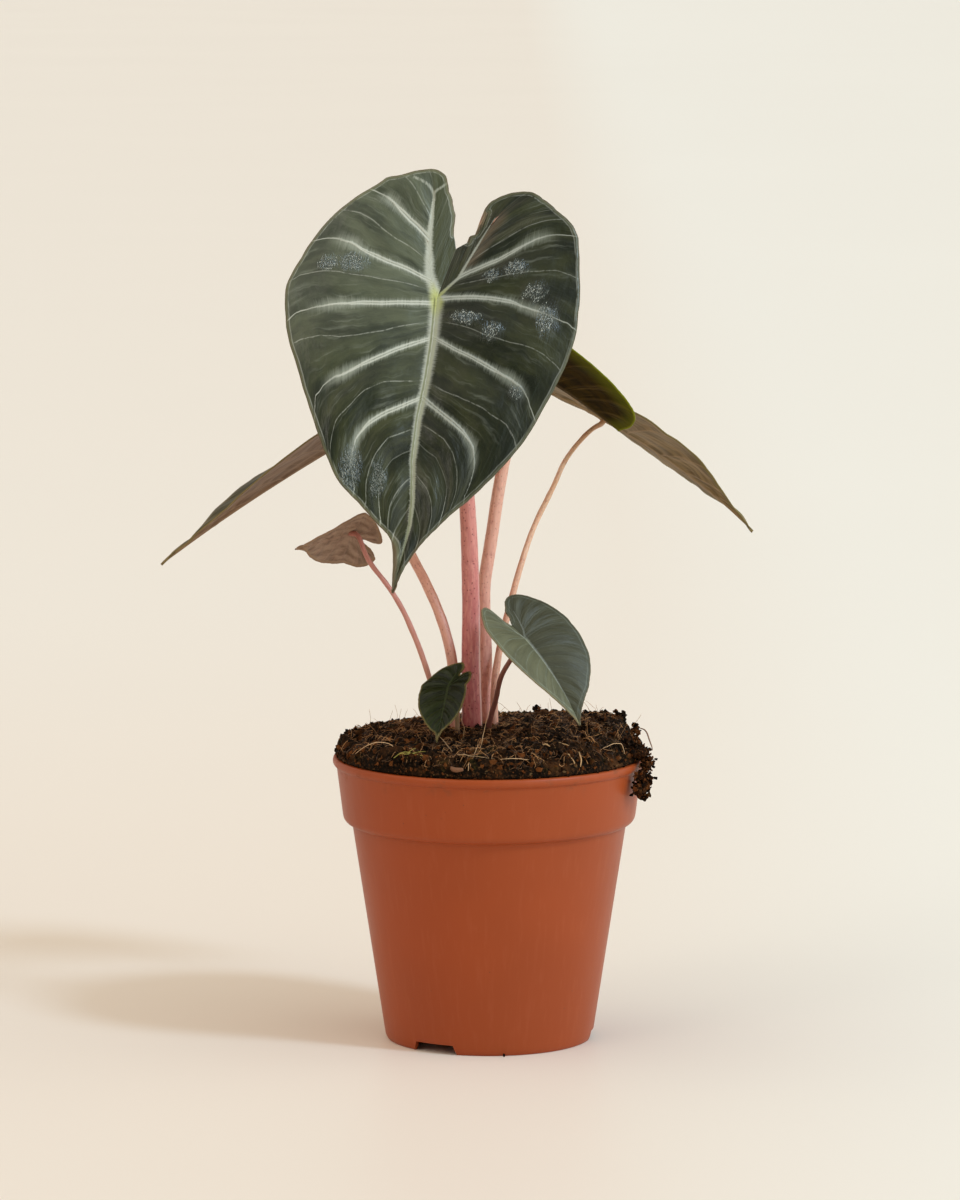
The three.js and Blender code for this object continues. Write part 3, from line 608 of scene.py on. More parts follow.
def upper_side(g, look, ink, on):
    """Dark green with pale hairy veins, glossy puckers with painted sheen and glints, and a thin
    rim.
    """
    rib, share, run, right, ground = on.rib, on.share, on.run, on.right, on.ground
    left = 1 - right
    # painted sheen: the left half lightened towards a pale grey green, most towards the lobes
    lift = (0.4 + 0.6 * g.smooth(on.flow, 0.3, 0.7)) * left * look["lift"]
    blush = (g.smooth(on.middle, 1.2, 6.0, 1.0, 0.0) * g.smooth(on.along, -9, -16) * right
             * g.smooth(rib, 7.95, 8.1, 1.0, 0.1))
    speck = g.smooth(g.cells(on.place, 700), 0.08, 0.2, 1.0, 0.0) * g.smooth(ground, 0.5, 0.6)
    rim = g.smooth(on.edge + (g.noise(on.place, 300, 1) - 0.5) * 0.4, 0.15, 0.55, 1.0, 0.0)
    torn = g.noise(g.vector(run * 0.3, rib * 3.2, right * 4), 1.6, 4, 0.65)
    # painted sheen: a dark blue-grey gloss patched over the puckers
    painted_sheen_patch = (g.smooth(on.crinkle + (torn - 0.5) * 2.6, 0.35, 0.8)
           * g.smooth(on.crinkle, 0.08, 0.4))
    # painted glints: pale sparks inside that sheen
    sparks = g.noise(g.vector(run * 1.5, rib * 18, right * 2), 2.1, 3, 0.7)
    glint = g.smooth(sparks, 0.54, 0.61) * g.smooth(painted_sheen_patch, 0.4, 0.95)
    return g.layers(
        g.mix(g.smooth(on.flow + (ground - 0.5) * 0.4, 0.34, 0.72), ink["dark"], ink["olive"]),
        (g.smooth(on.thread, 0.5, 0.78) * g.smooth(ground, 0.35, 0.6) * 0.4, ink["halo"]),
        # painted sheen in arcs near the margin
        (g.smooth(on.arcs, 0.52, 0.75) * g.smooth(share, 0.5, 0.85) * 0.25, ink["sheen"]),
        (lift * g.smooth(on.along, 60, -12), tone(120, 127, 108)),
        (g.smooth(rib, 7.9, 8.5) * left * 0.7, ink["olive"]),
        (on.halo * (0.62 + 0.38 * on.hair) * look["vein_share"], ink["halo"]),
        (g.math("MAXIMUM", on.thin, on.loop), ink["vein"]),
        (on.vein, ink["vein"]),
        (blush * g.smooth(on.flow, 0.3, 0.6) * look["blush_share"], ink["blush"]),
        (on.midrib * 0.9, g.mix(on.heart, ink["midrib"], ink["heart"])),
        # painted shade and highlight beside the midrib
        (on.groove * on.midrib * 0.75, ink["groove"]),
        (on.ridge * on.midrib * 0.5, ink["ridge"]),
        (speck * on.midrib * 0.55, tone(92, 66, 44)),
        (on.pale_edge, ink["fringe"]),
        (rim * 0.8, ink["rim"]),
        # painted shade over the right half
        (right * look["shade"], tone(8, 11, 4)),
        (painted_sheen_patch * 0.5, tone(40, 52, 48)),
        (glint * 0.68, tone(204, 206, 194)))


def lower_side(g, look, ink, on):
    """Mottled pinkish brown with paler veins."""
    mottle = g.noise(g.vector(on.run * 0.35, on.rib * 0.9, 2.2), 1.0, 3, 0.6)
    side_veins = g.math("MAXIMUM", g.smooth(on.first, 0.25, 0.6, 1.0, 0.0) * 0.8, on.thin)
    veins = g.math("MAXIMUM", side_veins, g.smooth(on.middle, 0.5, 1.3, 1.0, 0.0))
    return g.layers(
        g.mix(g.smooth(mottle, 0.3, 0.7), ink["under"], ink["under_light"]),
        (g.smooth(on.flow, 0.55, 0.7) * 0.4, ink["under_vein"]),
        (veins * look["vein_share"], ink["under_vein"]),
        (on.pale_edge, ink["fringe"]),
        (g.smooth(on.edge, 0.3, 0.8, 1.0, 0.0) * 0.7, ink["rim"]))


def blade_material(name, look):
    """Green above and pinkish below, with the veins drawn along the leaf's own ribs."""
    g = Graph(f"blade_{name}")
    ink = {key: tone(*value) for key, value in look.items() if np.size(value) == 3}
    on = blade_marks(g, look)
    colour = g.mix(g.smooth(on.under, 0.3, 0.7), upper_side(g, look, ink, on),
                   lower_side(g, look, ink, on))
    wrinkle = g.noise(g.vector(on.run * 0.13, on.rib * 4, on.right * 6), 1.0, 3, 0.55)
    pucker = g.noise(g.vector(on.run * 1.5, on.rib * 5, on.right * 2), 1.0, 3, 0.65)
    height = wrinkle * 0.5 + on.thread * 0.08 + pucker * on.crinkle * 0.9 + on.lines * 0.12
    roughness = (look["gloss"] + on.vein * 0.1 + on.midrib * 0.12 + (on.ground - 0.5) * 0.2
                 + on.under * 0.1 - on.crinkle * 0.08)
    return g.surface(colour, roughness, g.bump(height, 0.9, 0.001),
                     fixed={"Specular IOR Level": look["shine"]})


def stalk_material(name, base, top, speckles, sheath_edge_and_highlight):
    """Pink skin that pales towards the leaf, with small dark red dashes."""
    g = Graph(f"stalk_{name}")
    run, share, front, flank = [g.attribute(fact) for fact in STALK_FACTS]
    streak = g.noise(g.vector(run * 0.12, front * 2.2, flank * 2.2), 1.6, 3, 0.6)
    dash = g.cells(g.vector(run * 0.55, front * 2.0, flank * 2.0), 1.0)
    blotch = g.noise(g.vector(run * 0.3, front, flank), 1.3, 3)
    # pale band down the flank that faces right: the sheath's edge with a painted highlight
    pale = g.smooth(flank, 0.8, 0.93) * g.smooth(share, 0.2, 0.45, 1.0, 0.0)
    body = g.layers(
        g.mix(g.smooth(share, 0.05, 0.85), tone(*base), tone(*top)),
        (g.smooth(streak, 0.35, 0.75) * 0.4, tone(*[min(255, part + 26) for part in top])),
        (g.smooth(dash, 0.12, 0.24, 1.0, 0.0) * speckles, tone(128, 52, 48)),
        (g.smooth(blotch, 0.52, 0.75) * 0.35, tone(150, 78, 74)),
        (pale * sheath_edge_and_highlight * 0.7, tone(226, 192, 182)))
    return g.surface(body, 0.4 + (streak - 0.5) * 0.25, g.bump(streak * 0.3, 0.5, 0.001), fixed={
        "Subsurface Weight": 0.12, "Subsurface Radius": (1.0, 0.35, 0.25),
        "Subsurface Scale": 0.002})


def pot_material(colour):
    """Satin moulded plastic with faint flow lines, scuffs and dust from the soil."""
    g = Graph("pot_plastic")
    place = g.place()
    broad = g.noise(place, 14, 2)
    lines = g.noise(g.stretched(place, (1.0, 1.0, 0.04)), 460, 2, 0.6)
    grain = g.noise(place, 1500, 2)
    scuff = g.noise(g.stretched(place, (1.0, 1.0, 0.35)), 90, 4, 0.65)
    speck = (g.smooth(g.cells(place, 240), 0.045, 0.075, 1.0, 0.0)
             * g.smooth(g.noise(place, 40, 2), 0.52, 0.62))
    dusty = (g.smooth(g.part(place, 2), *DUSTY_HEIGHTS)
             * g.smooth(g.noise(place, 130, 4, 0.7), 0.55, 0.7))
    body = g.layers(
        g.mix(g.smooth(broad, 0.3, 0.7), tone(*colour), tone(*[part * 0.94 for part in colour])),
        (g.smooth(lines, 0.5, 0.75) * 0.05, tone(206, 122, 84)),
        (speck * 0.6, tone(90, 56, 38)),
        (dusty * 0.45, tone(112, 70, 48)),
        (g.smooth(scuff, 0.66, 0.78) * 0.06, tone(224, 160, 124)))
    roughness = 0.42 + (scuff - 0.5) * 0.16 + dusty * 0.25 + (grain - 0.5) * 0.05
    height = lines * 0.03 + grain * 0.02 + speck * 0.08
    return g.surface(body, roughness, g.bump(height, 0.5, 0.001),
                     fixed={"Specular IOR Level": 0.24})


def soil_material(name, dark, light):
    """Damp peat and coir: near black in the hollows, partly as painted shade, and brown on the
    crumbs.
    """
    g = Graph(name)
    place = g.place()
    coarse = g.noise(place, 160, 4, 0.65)
    fine = g.noise(place, 900, 4, 0.7)
    mossy = g.smooth(g.noise(place, 75, 3, 0.6), 0.58, 0.68) * g.smooth(fine, 0.4, 0.6)
    # lighter where the bump stands high: the peat's own tones, with painted shade in the hollows
    raised = g.smooth(coarse + g.attribute("tint") * 0.4, 0.4, 0.95)
    body = g.layers(
        g.mix(raised, tone(*dark), tone(*light)),
        (g.smooth(fine, 0.5, 0.7) * 0.6, tone(104, 68, 38)),
        (g.smooth(g.noise(place, 420, 2), 0.66, 0.72) * 0.6, tone(120, 92, 58)),
        (mossy * 0.5, tone(66, 60, 24)))
    height = coarse * 0.9 + fine * 0.7
    return g.surface(body, 0.86 + (fine - 0.5) * 0.2, g.bump(height, 1.0, 0.0016),
                     fixed={"Specular IOR Level": 0.08})


def fibre_material(name, pale, deep):
    """Dry strands whose tint goes from strand to strand."""
    g = Graph(name)
    place = g.place()
    tint = g.attribute("tint")
    grain = g.noise(place, 1200, 2)
    body = g.mix(g.smooth(tint + (grain - 0.5) * 0.4, 0.1, 0.9), tone(*pale), tone(*deep))
    return g.surface(body, 0.65 + grain * 0.2, g.bump(grain, 0.4, 0.0003))


# The pot. Its driving sizes are in PotSizes and these are its details, in millimetres

WALL, LIP, FLOOR_LIFT, FOOT_INSET, PAD_RADIUS = 1.3, 3.2, 3.8, 0.7, 6
BODY_TOP_RADIUS, BAND_FOOT, BAND_BOTTOM_RADIUS, BAND_TOP_RADIUS = 52.5, 84, 55.9, 58.4
NOTCH_ANGLES, NOTCH_SIZE, NOTCH_MIDDLE, NOTCH_TAPER = (-122, -2, 118), (9, 19.5, 4.7), 1.35, 0.84
DRAIN_HOLES, DRAIN_RADIUS, DRAIN_CIRCLE, DRAIN_MIDDLE = 8, 4, 25, 4.45
POT_STEPS, HOLE_SIDES, SHARP_DEGREES = 160, 24, 40


def rounded_line(corners):
    """A line of points with each corner (radius, height, round) eased over its round."""
    points = []
    for index, (radius, height, ease) in enumerate(corners):
        here = np.array((radius, height), float)
        if not ease or index in (0, len(corners) - 1):
            points.append(here)
            continue
        before = np.array(corners[index - 1][:2], float) - here
        after = np.array(corners[index + 1][:2], float) - here
        start = here + unit(before) * min(ease, np.linalg.norm(before) * 0.5)
        end = here + unit(after) * min(ease, np.linalg.norm(after) * 0.5)
        for share in np.linspace(0, 1, 6):
            points.append((1 - share) ** 2 * start + 2 * share * (1 - share) * here
                          + share ** 2 * end)
    return points


def pot_outline(sizes):
    """Half the pot's section from the middle of its foot, round the lip, to its floor."""
    rim, height, base = sizes.rim_radius / MM, sizes.height / MM, sizes.base_radius / MM
    foot, under = base - FOOT_INSET, height - LIP
    floor = FLOOR_LIFT + WALL
    return rounded_line([
        (0, 0, 0), (PAD_RADIUS, 0, 0.3), (PAD_RADIUS, FLOOR_LIFT, 0.3),
        (foot - WALL, FLOOR_LIFT, 0.4), (foot - WALL, 0, 0.3),
        (foot, 0, 0.4), (base, 1.4, 0.8), (base + 0.6, 5.3, 0), (base + 1.4, 10.5, 0),
        (BODY_TOP_RADIUS, BAND_FOOT - 0.6, 0.6), (BODY_TOP_RADIUS + 2.1, BAND_FOOT, 1.2),
        (BAND_BOTTOM_RADIUS, BAND_FOOT + 1.6, 1.4), (BAND_TOP_RADIUS, under - 0.5, 0.7),
        (BAND_TOP_RADIUS + 0.9, under, 0.5), (rim, height - 2, 1.2),
        (rim - 0.5, height, 0.9), (BAND_TOP_RADIUS - 1, height, 0.7),
        (BAND_BOTTOM_RADIUS - WALL, BAND_FOOT + 3.4, 1.5),
        (BODY_TOP_RADIUS - WALL, BAND_FOOT + 0.8, 1),
        (foot - 0.1, floor + 1.2, 1), (foot - 1.6, floor, 0.8), (0, floor, 0)])


def cut_away(piece, cutter):
    """Takes the cutter's space out of a piece for good."""
    modifier = piece.modifiers.new("cut", "BOOLEAN")
    modifier.object = cutter
    modifier.operation = "DIFFERENCE"
    modifier.solver = "EXACT"
    graph = bpy.context.evaluated_depsgraph_get()
    mesh = bpy.data.meshes.new_from_object(piece.evaluated_get(graph), depsgraph=graph)
    piece.modifiers.remove(modifier)
    old, piece.data = piece.data, mesh
    name = old.name
    bpy.data.meshes.remove(old)
    mesh.name = name
    spent = cutter.data
    bpy.data.objects.remove(cutter)
    bpy.data.meshes.remove(spent)


class PotSizes(bpy.types.PropertyGroup):
    rim_radius: bpy.props.FloatProperty(
        name="Rim radius", description="From the pot's axis to the outside of its lip",
        default=0.06, min=0.03, max=0.2, unit="LENGTH", subtype="DISTANCE")
    base_radius: bpy.props.FloatProperty(
        name="Base radius", description="From the axis to the outside of the body's foot",
        default=0.0399, min=0.02, max=0.15, unit="LENGTH", subtype="DISTANCE")
    height: bpy.props.FloatProperty(
        name="Height", description="From the surface that the pot stands on to its lip",
        default=0.1092, min=0.05, max=0.3, unit="LENGTH", subtype="DISTANCE")
    colour: bpy.props.FloatVectorProperty(
        name="Colour", description="Colour of the plastic on a screen",
        default=(0.612, 0.27, 0.114), min=0, max=1, size=3, subtype="COLOR_GAMMA")


def pot_cutters(base_radius):
    """The space of the foot notches and of the drain holes, in metres."""
    bm = bmesh.new()
    for degrees in NOTCH_ANGLES:
        notch = bmesh.ops.create_cube(bm, size=1)["verts"]
        bmesh.ops.scale(bm, vec=[side * MM for side in NOTCH_SIZE], verts=notch)
        upper = [vert for vert in notch if vert.co.z > 0]
        bmesh.ops.scale(bm, vec=(1, NOTCH_TAPER, 1), verts=upper)
        bmesh.ops.translate(bm, vec=(base_radius, 0, NOTCH_MIDDLE * MM), verts=notch)
        bmesh.ops.rotate(bm, cent=(0, 0, 0), verts=notch,
                         matrix=Matrix.Rotation(math.radians(degrees), 3, "Z"))
    middle = Matrix.Translation((DRAIN_CIRCLE * MM, 0, DRAIN_MIDDLE * MM))
    for index in range(DRAIN_HOLES):
        turn = Matrix.Rotation(math.radians(360 / DRAIN_HOLES * (index + 0.5)), 4, "Z")
        bmesh.ops.create_cone(bm, cap_ends=True, segments=HOLE_SIDES, radius1=DRAIN_RADIUS * MM,
                              radius2=DRAIN_RADIUS * MM, depth=4 * MM, matrix=turn @ middle)
    return bm


class PLANT_OT_pot(bpy.types.Operator):
    """Makes the moulded pot with its lip, collar, foot notches and drain holes"""
    bl_idname = "plant.pot"
    bl_label = "Pot"

    def execute(self, context):
        sizes = context.scene.plant_pot
        bm = bmesh.new()
        line = [bm.verts.new((radius, 0, height)) for radius, height in pot_outline(sizes)]
        edges = [bm.edges.new(pair) for pair in zip(line, line[1:])]
        bmesh.ops.spin(bm, geom=line + edges, cent=(0, 0, 0), axis=(0, 0, 1),
                       angle=2 * math.pi, steps=POT_STEPS, use_merge=True)
        close_up(bm)
        colour = [part * 255 for part in sizes.colour]
        pot = make_piece("nursery_pot", bm, pot_material(colour), ["pot"])
        cut_away(pot, new_object("cutters", pot_cutters(sizes.base_radius)))
        pot.data.set_sharp_from_angle(angle=math.radians(SHARP_DEGREES))
        return {"FINISHED"}


# The soil, in millimetres. MOUND is its top's outline and INSIDE its outline in the pot, each as
# radius and height

MOUND = [(0, 119.3), (5.5, 119.3), (11, 119.4), (17, 119.6), (23, 119.6), (29, 119.7),
         (35.5, 119.6), (41.5, 119), (47, 117.8), (52, 116), (57, 113.4), (58.8, 111.2)]
INSIDE = [(56.8, 108.6), (54.2, 92), (50.6, 85.2), (38.1, 7.1), (36.6, 5.4)]
SOIL_EDGE, SOIL_SHOULDER, SOIL_GRID = 58.9, 57.9, 230

# The clump that hangs over the lip: distance from the axis, height, degrees aside and radius
SPILL_ANGLE = -19
SPILL = [
    (54.5, 115.5, 0, 4.6), (55, 115, 5, 3.4), (59.6, 113.4, -1, 3.9), (60.6, 112.6, 3, 2.9),
    (63.4, 110.4, 0.5, 2.7), (63.6, 108, -1.5, 2.3), (63.1, 105.2, -4, 2.9), (63, 103.4, 0, 2.6),
    (62.3, 101.8, -2.5, 3), (61.6, 99.6, -5.5, 2.3), (62.2, 99, 0.8, 2.3), (61.6, 96.8, 0.4, 1.8),
]
SPILL_CRUMBS, RIM_CRUMBS, LUMP_CRUMBS, UPRIGHT_HAIRS = 480, 900, 9, 70

# Lumps that stand up on the mound, as x, y, z and radius, then a crumb on the floor at the foot
LUMPS = [(18.5, 34.5, 120.8, 1.5), (50.5, 3, 124, 2.2), (56, 5, 118.5, 1.8),
         (-50, -12, 117.5, 1.6), (-38, 22, 117.5, 1.7), (36, -20, 122, 2), (8, -47, 118, 1.8),
         (-30, -42, 116, 1.6)]
FOOT_CRUMB, FOOT_CRUMB_RADIUS = (5.6, -41.4, 0.9), 0.7

# Single root threads and straws: the points of each, its radius and its kind, whose pale and
# deep colours follow
THREADS = [
    ([(0.3, -20, 130.8), (-1.6, -31, 125.5), (-3, -42, 120), (-4.5, -50.5, 118)], 0.13, "root"),
    ([(-19.5, -25.5, 121), (-17, -36, 120.2), (-14, -46.5, 118)], 0.11, "root"),
    ([(-11, -25, 128.5), (-9.6, -28, 124), (-10, -32.5, 121)], 0.09, "root"),
    ([(-50.5, -30, 114.4), (-46, -30.5, 117.8), (-41, -32, 119.2), (-37, -35, 118.8),
      (-35.5, -39, 117.5)], 0.17, "root"),
    ([(-36, -46, 115.5), (-33, -45, 117.2), (-29, -46, 117.4), (-25, -49, 116.6)], 0.2, "moss"),
    ([(-34, -44, 117), (-31.5, -47, 117), (-27, -45, 117.6), (-24, -46, 117.8)], 0.16, "moss"),
    ([(-31, -48, 115.8), (-30, -44, 117.6), (-27.5, -41, 118.4)], 0.13, "moss"),
    ([(-6, -53, 117.2), (-9, -54, 118), (-12, -52, 117.6)], 0.12, "root"),
    ([(-6, -53, 117.2), (-5, -50, 119.4), (-4.2, -48, 121)], 0.1, "root"),
    ([(-6, -53, 117.2), (-2, -54, 117), (2, -54, 116.4)], 0.1, "root"),
    ([(-6, -53, 117.2), (-7.5, -56.4, 115.2), (-8, -58, 112.6)], 0.12, "root"),
    ([(4, -55.5, 116.4), (9, -55.8, 116.8), (15, -54, 116.2)], 0.13, "root"),
    ([(19, -44, 119.4), (21, -43.5, 120.3), (22.6, -44.2, 119.6)], 0.42, "straw"),
    ([(29.5, -46.4, 117), (30.5, -46.4, 116), (32, -48.6, 113.6)], 0.4, "straw"),
    ([(33.5, -44, 117.6), (34.4, -47.6, 115.2), (34.2, -48.8, 112.6)], 0.34, "straw"),
    ([(25, -38, 120.6), (28, -40.5, 119.8), (30, -41.5, 119.4)], 0.3, "straw"),
    ([(42, -35, 117), (47, -32, 118.6), (50, -29, 118), (51, -31, 114.6)], 0.14, "root"),
    ([(57, 3, 119.4), (59.6, 1.6, 118.6), (61.4, 0.6, 115), (62.4, 0, 111)], 0.34, "twig"),
    ([(-14.6, -55, 113.4), (-12.6, -57.6, 112.8), (-9.8, -58.4, 113.2)], 1.3, "twig"),
]
THREAD_LOOKS = {
    "root": ((232, 190, 142), (176, 130, 88)), "moss": ((168, 158, 70), (120, 110, 44)),
    "straw": ((186, 146, 98), (140, 102, 62)), "twig": ((118, 78, 50), (84, 52, 32))}


def soil_height(x, y):
    """Height of the mound's crumbly top, in millimetres, as the solid has it."""
    radius = np.hypot(x, y)
    ring, level = zip(*MOUND)
    z = np.interp(radius, ring, level)
    coarse = np.sin(x * 0.31 + 1.7) * np.sin(y * 0.37 + 0.6) * np.cos(z * 0.2)
    middle = np.sin(x * 0.73 - y * 0.52 + 2.1) * np.sin(y * 0.81 + x * 0.33 + z * 0.7)
    lumps = 2.2 * (0.5 + 0.22 * coarse + 0.18 * middle)
    right = 4.5 * np.exp(-((x - 49) / 13) ** 2 - (y / 30) ** 2)
    hollow = 2.6 * np.exp(-((x + 20) / 15) ** 2 - ((y + 42) / 16) ** 2)
    slump = 2.6 * smoothstep(y - 0.8 * x, 0, 40)
    inner = 1 - smoothstep(radius, 50, 56)
    return z + lumps * (1 - 0.7 * smoothstep(radius, 55, 59)) + inner * (right - hollow - slump)


def on_mound(x, y):
    """Height of the mound's top at one place."""
    return float(soil_height(np.array(x), np.array(y)))


def around(radius, angle):
    """A place across the pot's axis."""
    return radius * math.cos(angle), radius * math.sin(angle)


def scattered(chance, spread=1.0):
    """A vector that leans no way in particular."""
    return Vector([chance.gauss(0, spread) for _ in range(3)])


class SoilSizes(bpy.types.PropertyGroup):
    crumbs: bpy.props.IntProperty(
        name="Crumbs", description="Loose crumbs that lie on the mound",
        default=4600, min=0, max=8000)
    strands: bpy.props.IntProperty(
        name="Strands", description="Coir fibres and root threads on the mound",
        default=3200, min=0, max=5000)
    seed: bpy.props.IntProperty(
        name="Seed", description="Start of the scatter, the same each time", default=7, min=0)


class PLANT_OT_soil(bpy.types.Operator):
    """Makes the mound of peat and the part of it inside the pot"""
    bl_idname = "plant.soil"
    bl_label = "Soil"

    def execute(self, context):
        bm = bmesh.new()
        top = bmesh.ops.create_grid(bm, x_segments=SOIL_GRID, y_segments=SOIL_GRID,
                                    size=1)["verts"]
        grid = places_of(top)
        x = grid[:, 0] * np.sqrt(1 - grid[:, 1] ** 2 / 2) * SOIL_EDGE
        y = grid[:, 1] * np.sqrt(1 - grid[:, 0] ** 2 / 2) * SOIL_EDGE
        radius = np.hypot(x, y)
        flat = np.stack([x, y, np.zeros(len(x))], 1)
        z = soil_height(x, y)
        inner = 1 - smoothstep(radius, 56.5, SOIL_EDGE)
        z = z + inner * (2.3 * rough(flat, 6, 3, 3.1) + 1.3 * np.abs(rough(flat, 2.2, 3, 8.4)))
        z = np.where(radius > SOIL_SHOULDER, z - (radius - SOIL_SHOULDER) * 1.6, z)
        sway = 0.5 * inner[:, None] * np.stack([rough(flat, 3, 1, 5), rough(flat, 3, 1, 9)], 1)
        put(top, np.stack([x + sway[:, 0], y + sway[:, 1], z], 1))
        skirt = [edge for edge in bm.edges if edge.is_boundary]
        for shrink, level in INSIDE:
            made = bmesh.ops.extrude_edge_only(bm, edges=skirt)["geom"]
            ring = [part for part in made if isinstance(part, bmesh.types.BMVert)]
            for vert in ring:
                out = math.hypot(vert.co.x, vert.co.y)
                vert.co = (vert.co.x / out * shrink, vert.co.y / out * shrink, level)
            skirt = [part for part in made if isinstance(part, bmesh.types.BMEdge)]
        bmesh.ops.holes_fill(bm, edges=skirt, sides=0)
        bmesh.ops.recalc_face_normals(bm, faces=bm.faces[:])
        tint = bm.verts.layers.float.new("tint")
        spots = rough(places_of(bm.verts), 9, 2, 1.3)
        for vert, value in zip(bm.verts, spots.tolist()):
            vert[tint] = value
        peat = soil_material("peat", (17, 9, 3), (74, 45, 22))
        make_piece("soil_mound", bm, peat, ["soil"])
        return {"FINISHED"}


def add_crumb(heap, place, size, chance, detail=1):
    turn = Euler([chance.uniform(0, 6.28) for _ in range(3)]).to_matrix().to_4x4()
    stretch = Matrix.Diagonal((1, chance.uniform(0.4, 1), chance.uniform(0.3, 0.8), 1))
    made = bmesh.ops.create_icosphere(
        heap.part, subdivisions=detail, radius=size,
        matrix=Matrix.Translation(place) @ turn @ stretch)["verts"]
    for vert in made:
        vert.co += Vector([chance.uniform(-0.46, 0.46) * size for _ in range(3)])
    heap.mark(made, "tint", chance.uniform(-1, 1))


def strew_mound(heap, count, chance):
    """Crumbs over the mound, a band of them along the lip, the lumps and the one at the foot."""
    for _ in range(count):
        radius = 58.2 * chance.random() ** (0.5 if chance.random() < 0.6 else 0.12)
        angle = chance.uniform(0, 2 * math.pi)
        size = 0.3 + 1.4 * chance.random() ** 3.6
        x, y = around(radius, angle)
        add_crumb(heap, (x, y, on_mound(x, y) + chance.uniform(-0.4, 1.2)), size, chance)
    for _ in range(RIM_CRUMBS):
        radius, angle = chance.uniform(57, 58.8), chance.uniform(0, 2 * math.pi)
        place = (*around(radius, angle), chance.uniform(109.5, 112.2))
        add_crumb(heap, place, chance.uniform(0.3, 0.9), chance)
    for *middle, size in LUMPS:
        for _ in range(LUMP_CRUMBS):
            spot = [value + chance.gauss(0, size * 0.5) for value in middle]
            add_crumb(heap, spot, size * chance.uniform(0.4, 0.8), chance, 2)
    add_crumb(heap, FOOT_CRUMB, FOOT_CRUMB_RADIUS, chance)


def hang_spill(heap, chance):
    """The clump over the lip: rough balls of peat with crumbs all over them."""
    balls = [(Vector((*around(distance, math.radians(SPILL_ANGLE + aside)), height)), radius)
             for distance, height, aside, radius in SPILL]
    bm = heap.whole
    for middle, radius in balls:
        bmesh.ops.create_icosphere(bm, subdivisions=4, radius=radius * 0.6,
                                   matrix=Matrix.Translation(middle))
    bm.normal_update()
    grow = 2.1 * rough(places_of(bm.verts), 2.6, 3, 2.2)
    for vert, value in zip(bm.verts, grow.tolist()):
        vert.co += vert.normal * value
    for _ in range(SPILL_CRUMBS):
        middle, radius = chance.choice(balls)
        way = scattered(chance).normalized()
        add_crumb(heap, middle + way * radius * chance.uniform(0.75, 1.2),
                  0.25 + 0.8 * chance.random() ** 2, chance)


class PLANT_OT_crumbs(bpy.types.Operator):
    """Scatters crumbs over the mound and hangs the spilled clump over the lip"""
    bl_idname = "plant.crumbs"
    bl_label = "Crumbs"

    def execute(self, context):
        sizes = context.scene.plant_soil
        chance = random.Random(sizes.seed)
        peat = soil_material("peat_crumbs", (12, 6, 2), (112, 64, 29))
        crumbs, spill = Heap("tint"), Heap("tint")
        strew_mound(crumbs, sizes.crumbs, chance)
        hang_spill(spill, chance)
        make_piece("soil_crumbs", crumbs.finished(), peat, smooth=False)
        make_piece("soil_spill", spill.finished(), peat, smooth=False)
        return {"FINISHED"}


def wander(start, heading, length, chance, steps=9, curl=0.5):
    """A bending line of points from start, in millimetres."""
    points, way = [Vector(start)], Vector(heading).normalized()
    for _ in range(steps):
        way = (way + scattered(chance, curl) * 0.5).normalized()
        points.append(points[-1] + way * length / steps)
    return np.array([point[:] for point in points])


def lying_strand(chance):
    """A line that rests on the mound by its ends and arches a little between them."""
    radius = 57 * math.sqrt(chance.random())
    angle = chance.uniform(0, 2 * math.pi)
    line = wander((*around(radius, angle), 0), (chance.gauss(0, 1), chance.gauss(0, 1), 0),
                  chance.uniform(2.5, 11), chance, steps=6, curl=0.6)
    lift = chance.uniform(0.2, 1.6)
    out = np.hypot(line[:, 0], line[:, 1])
    line[:, :2] *= (np.minimum(out, 58) / np.maximum(out, 1e-6))[:, None]
    swing = np.sin(np.linspace(0, 1, len(line)) * math.pi)
    line[:, 2] = soil_height(line[:, 0], line[:, 1]) + 0.3 + lift * swing
    return line


def upright_strand(chance):
    """A line that stands up out of the mound."""
    angle, radius = chance.uniform(0, 2 * math.pi), chance.uniform(30, 57)
    x, y = around(radius, angle)
    return wander((x, y, on_mound(x, y)), (chance.gauss(0, 0.5), chance.gauss(0, 0.5), 1),
                  chance.uniform(3, 9), chance, curl=0.25)


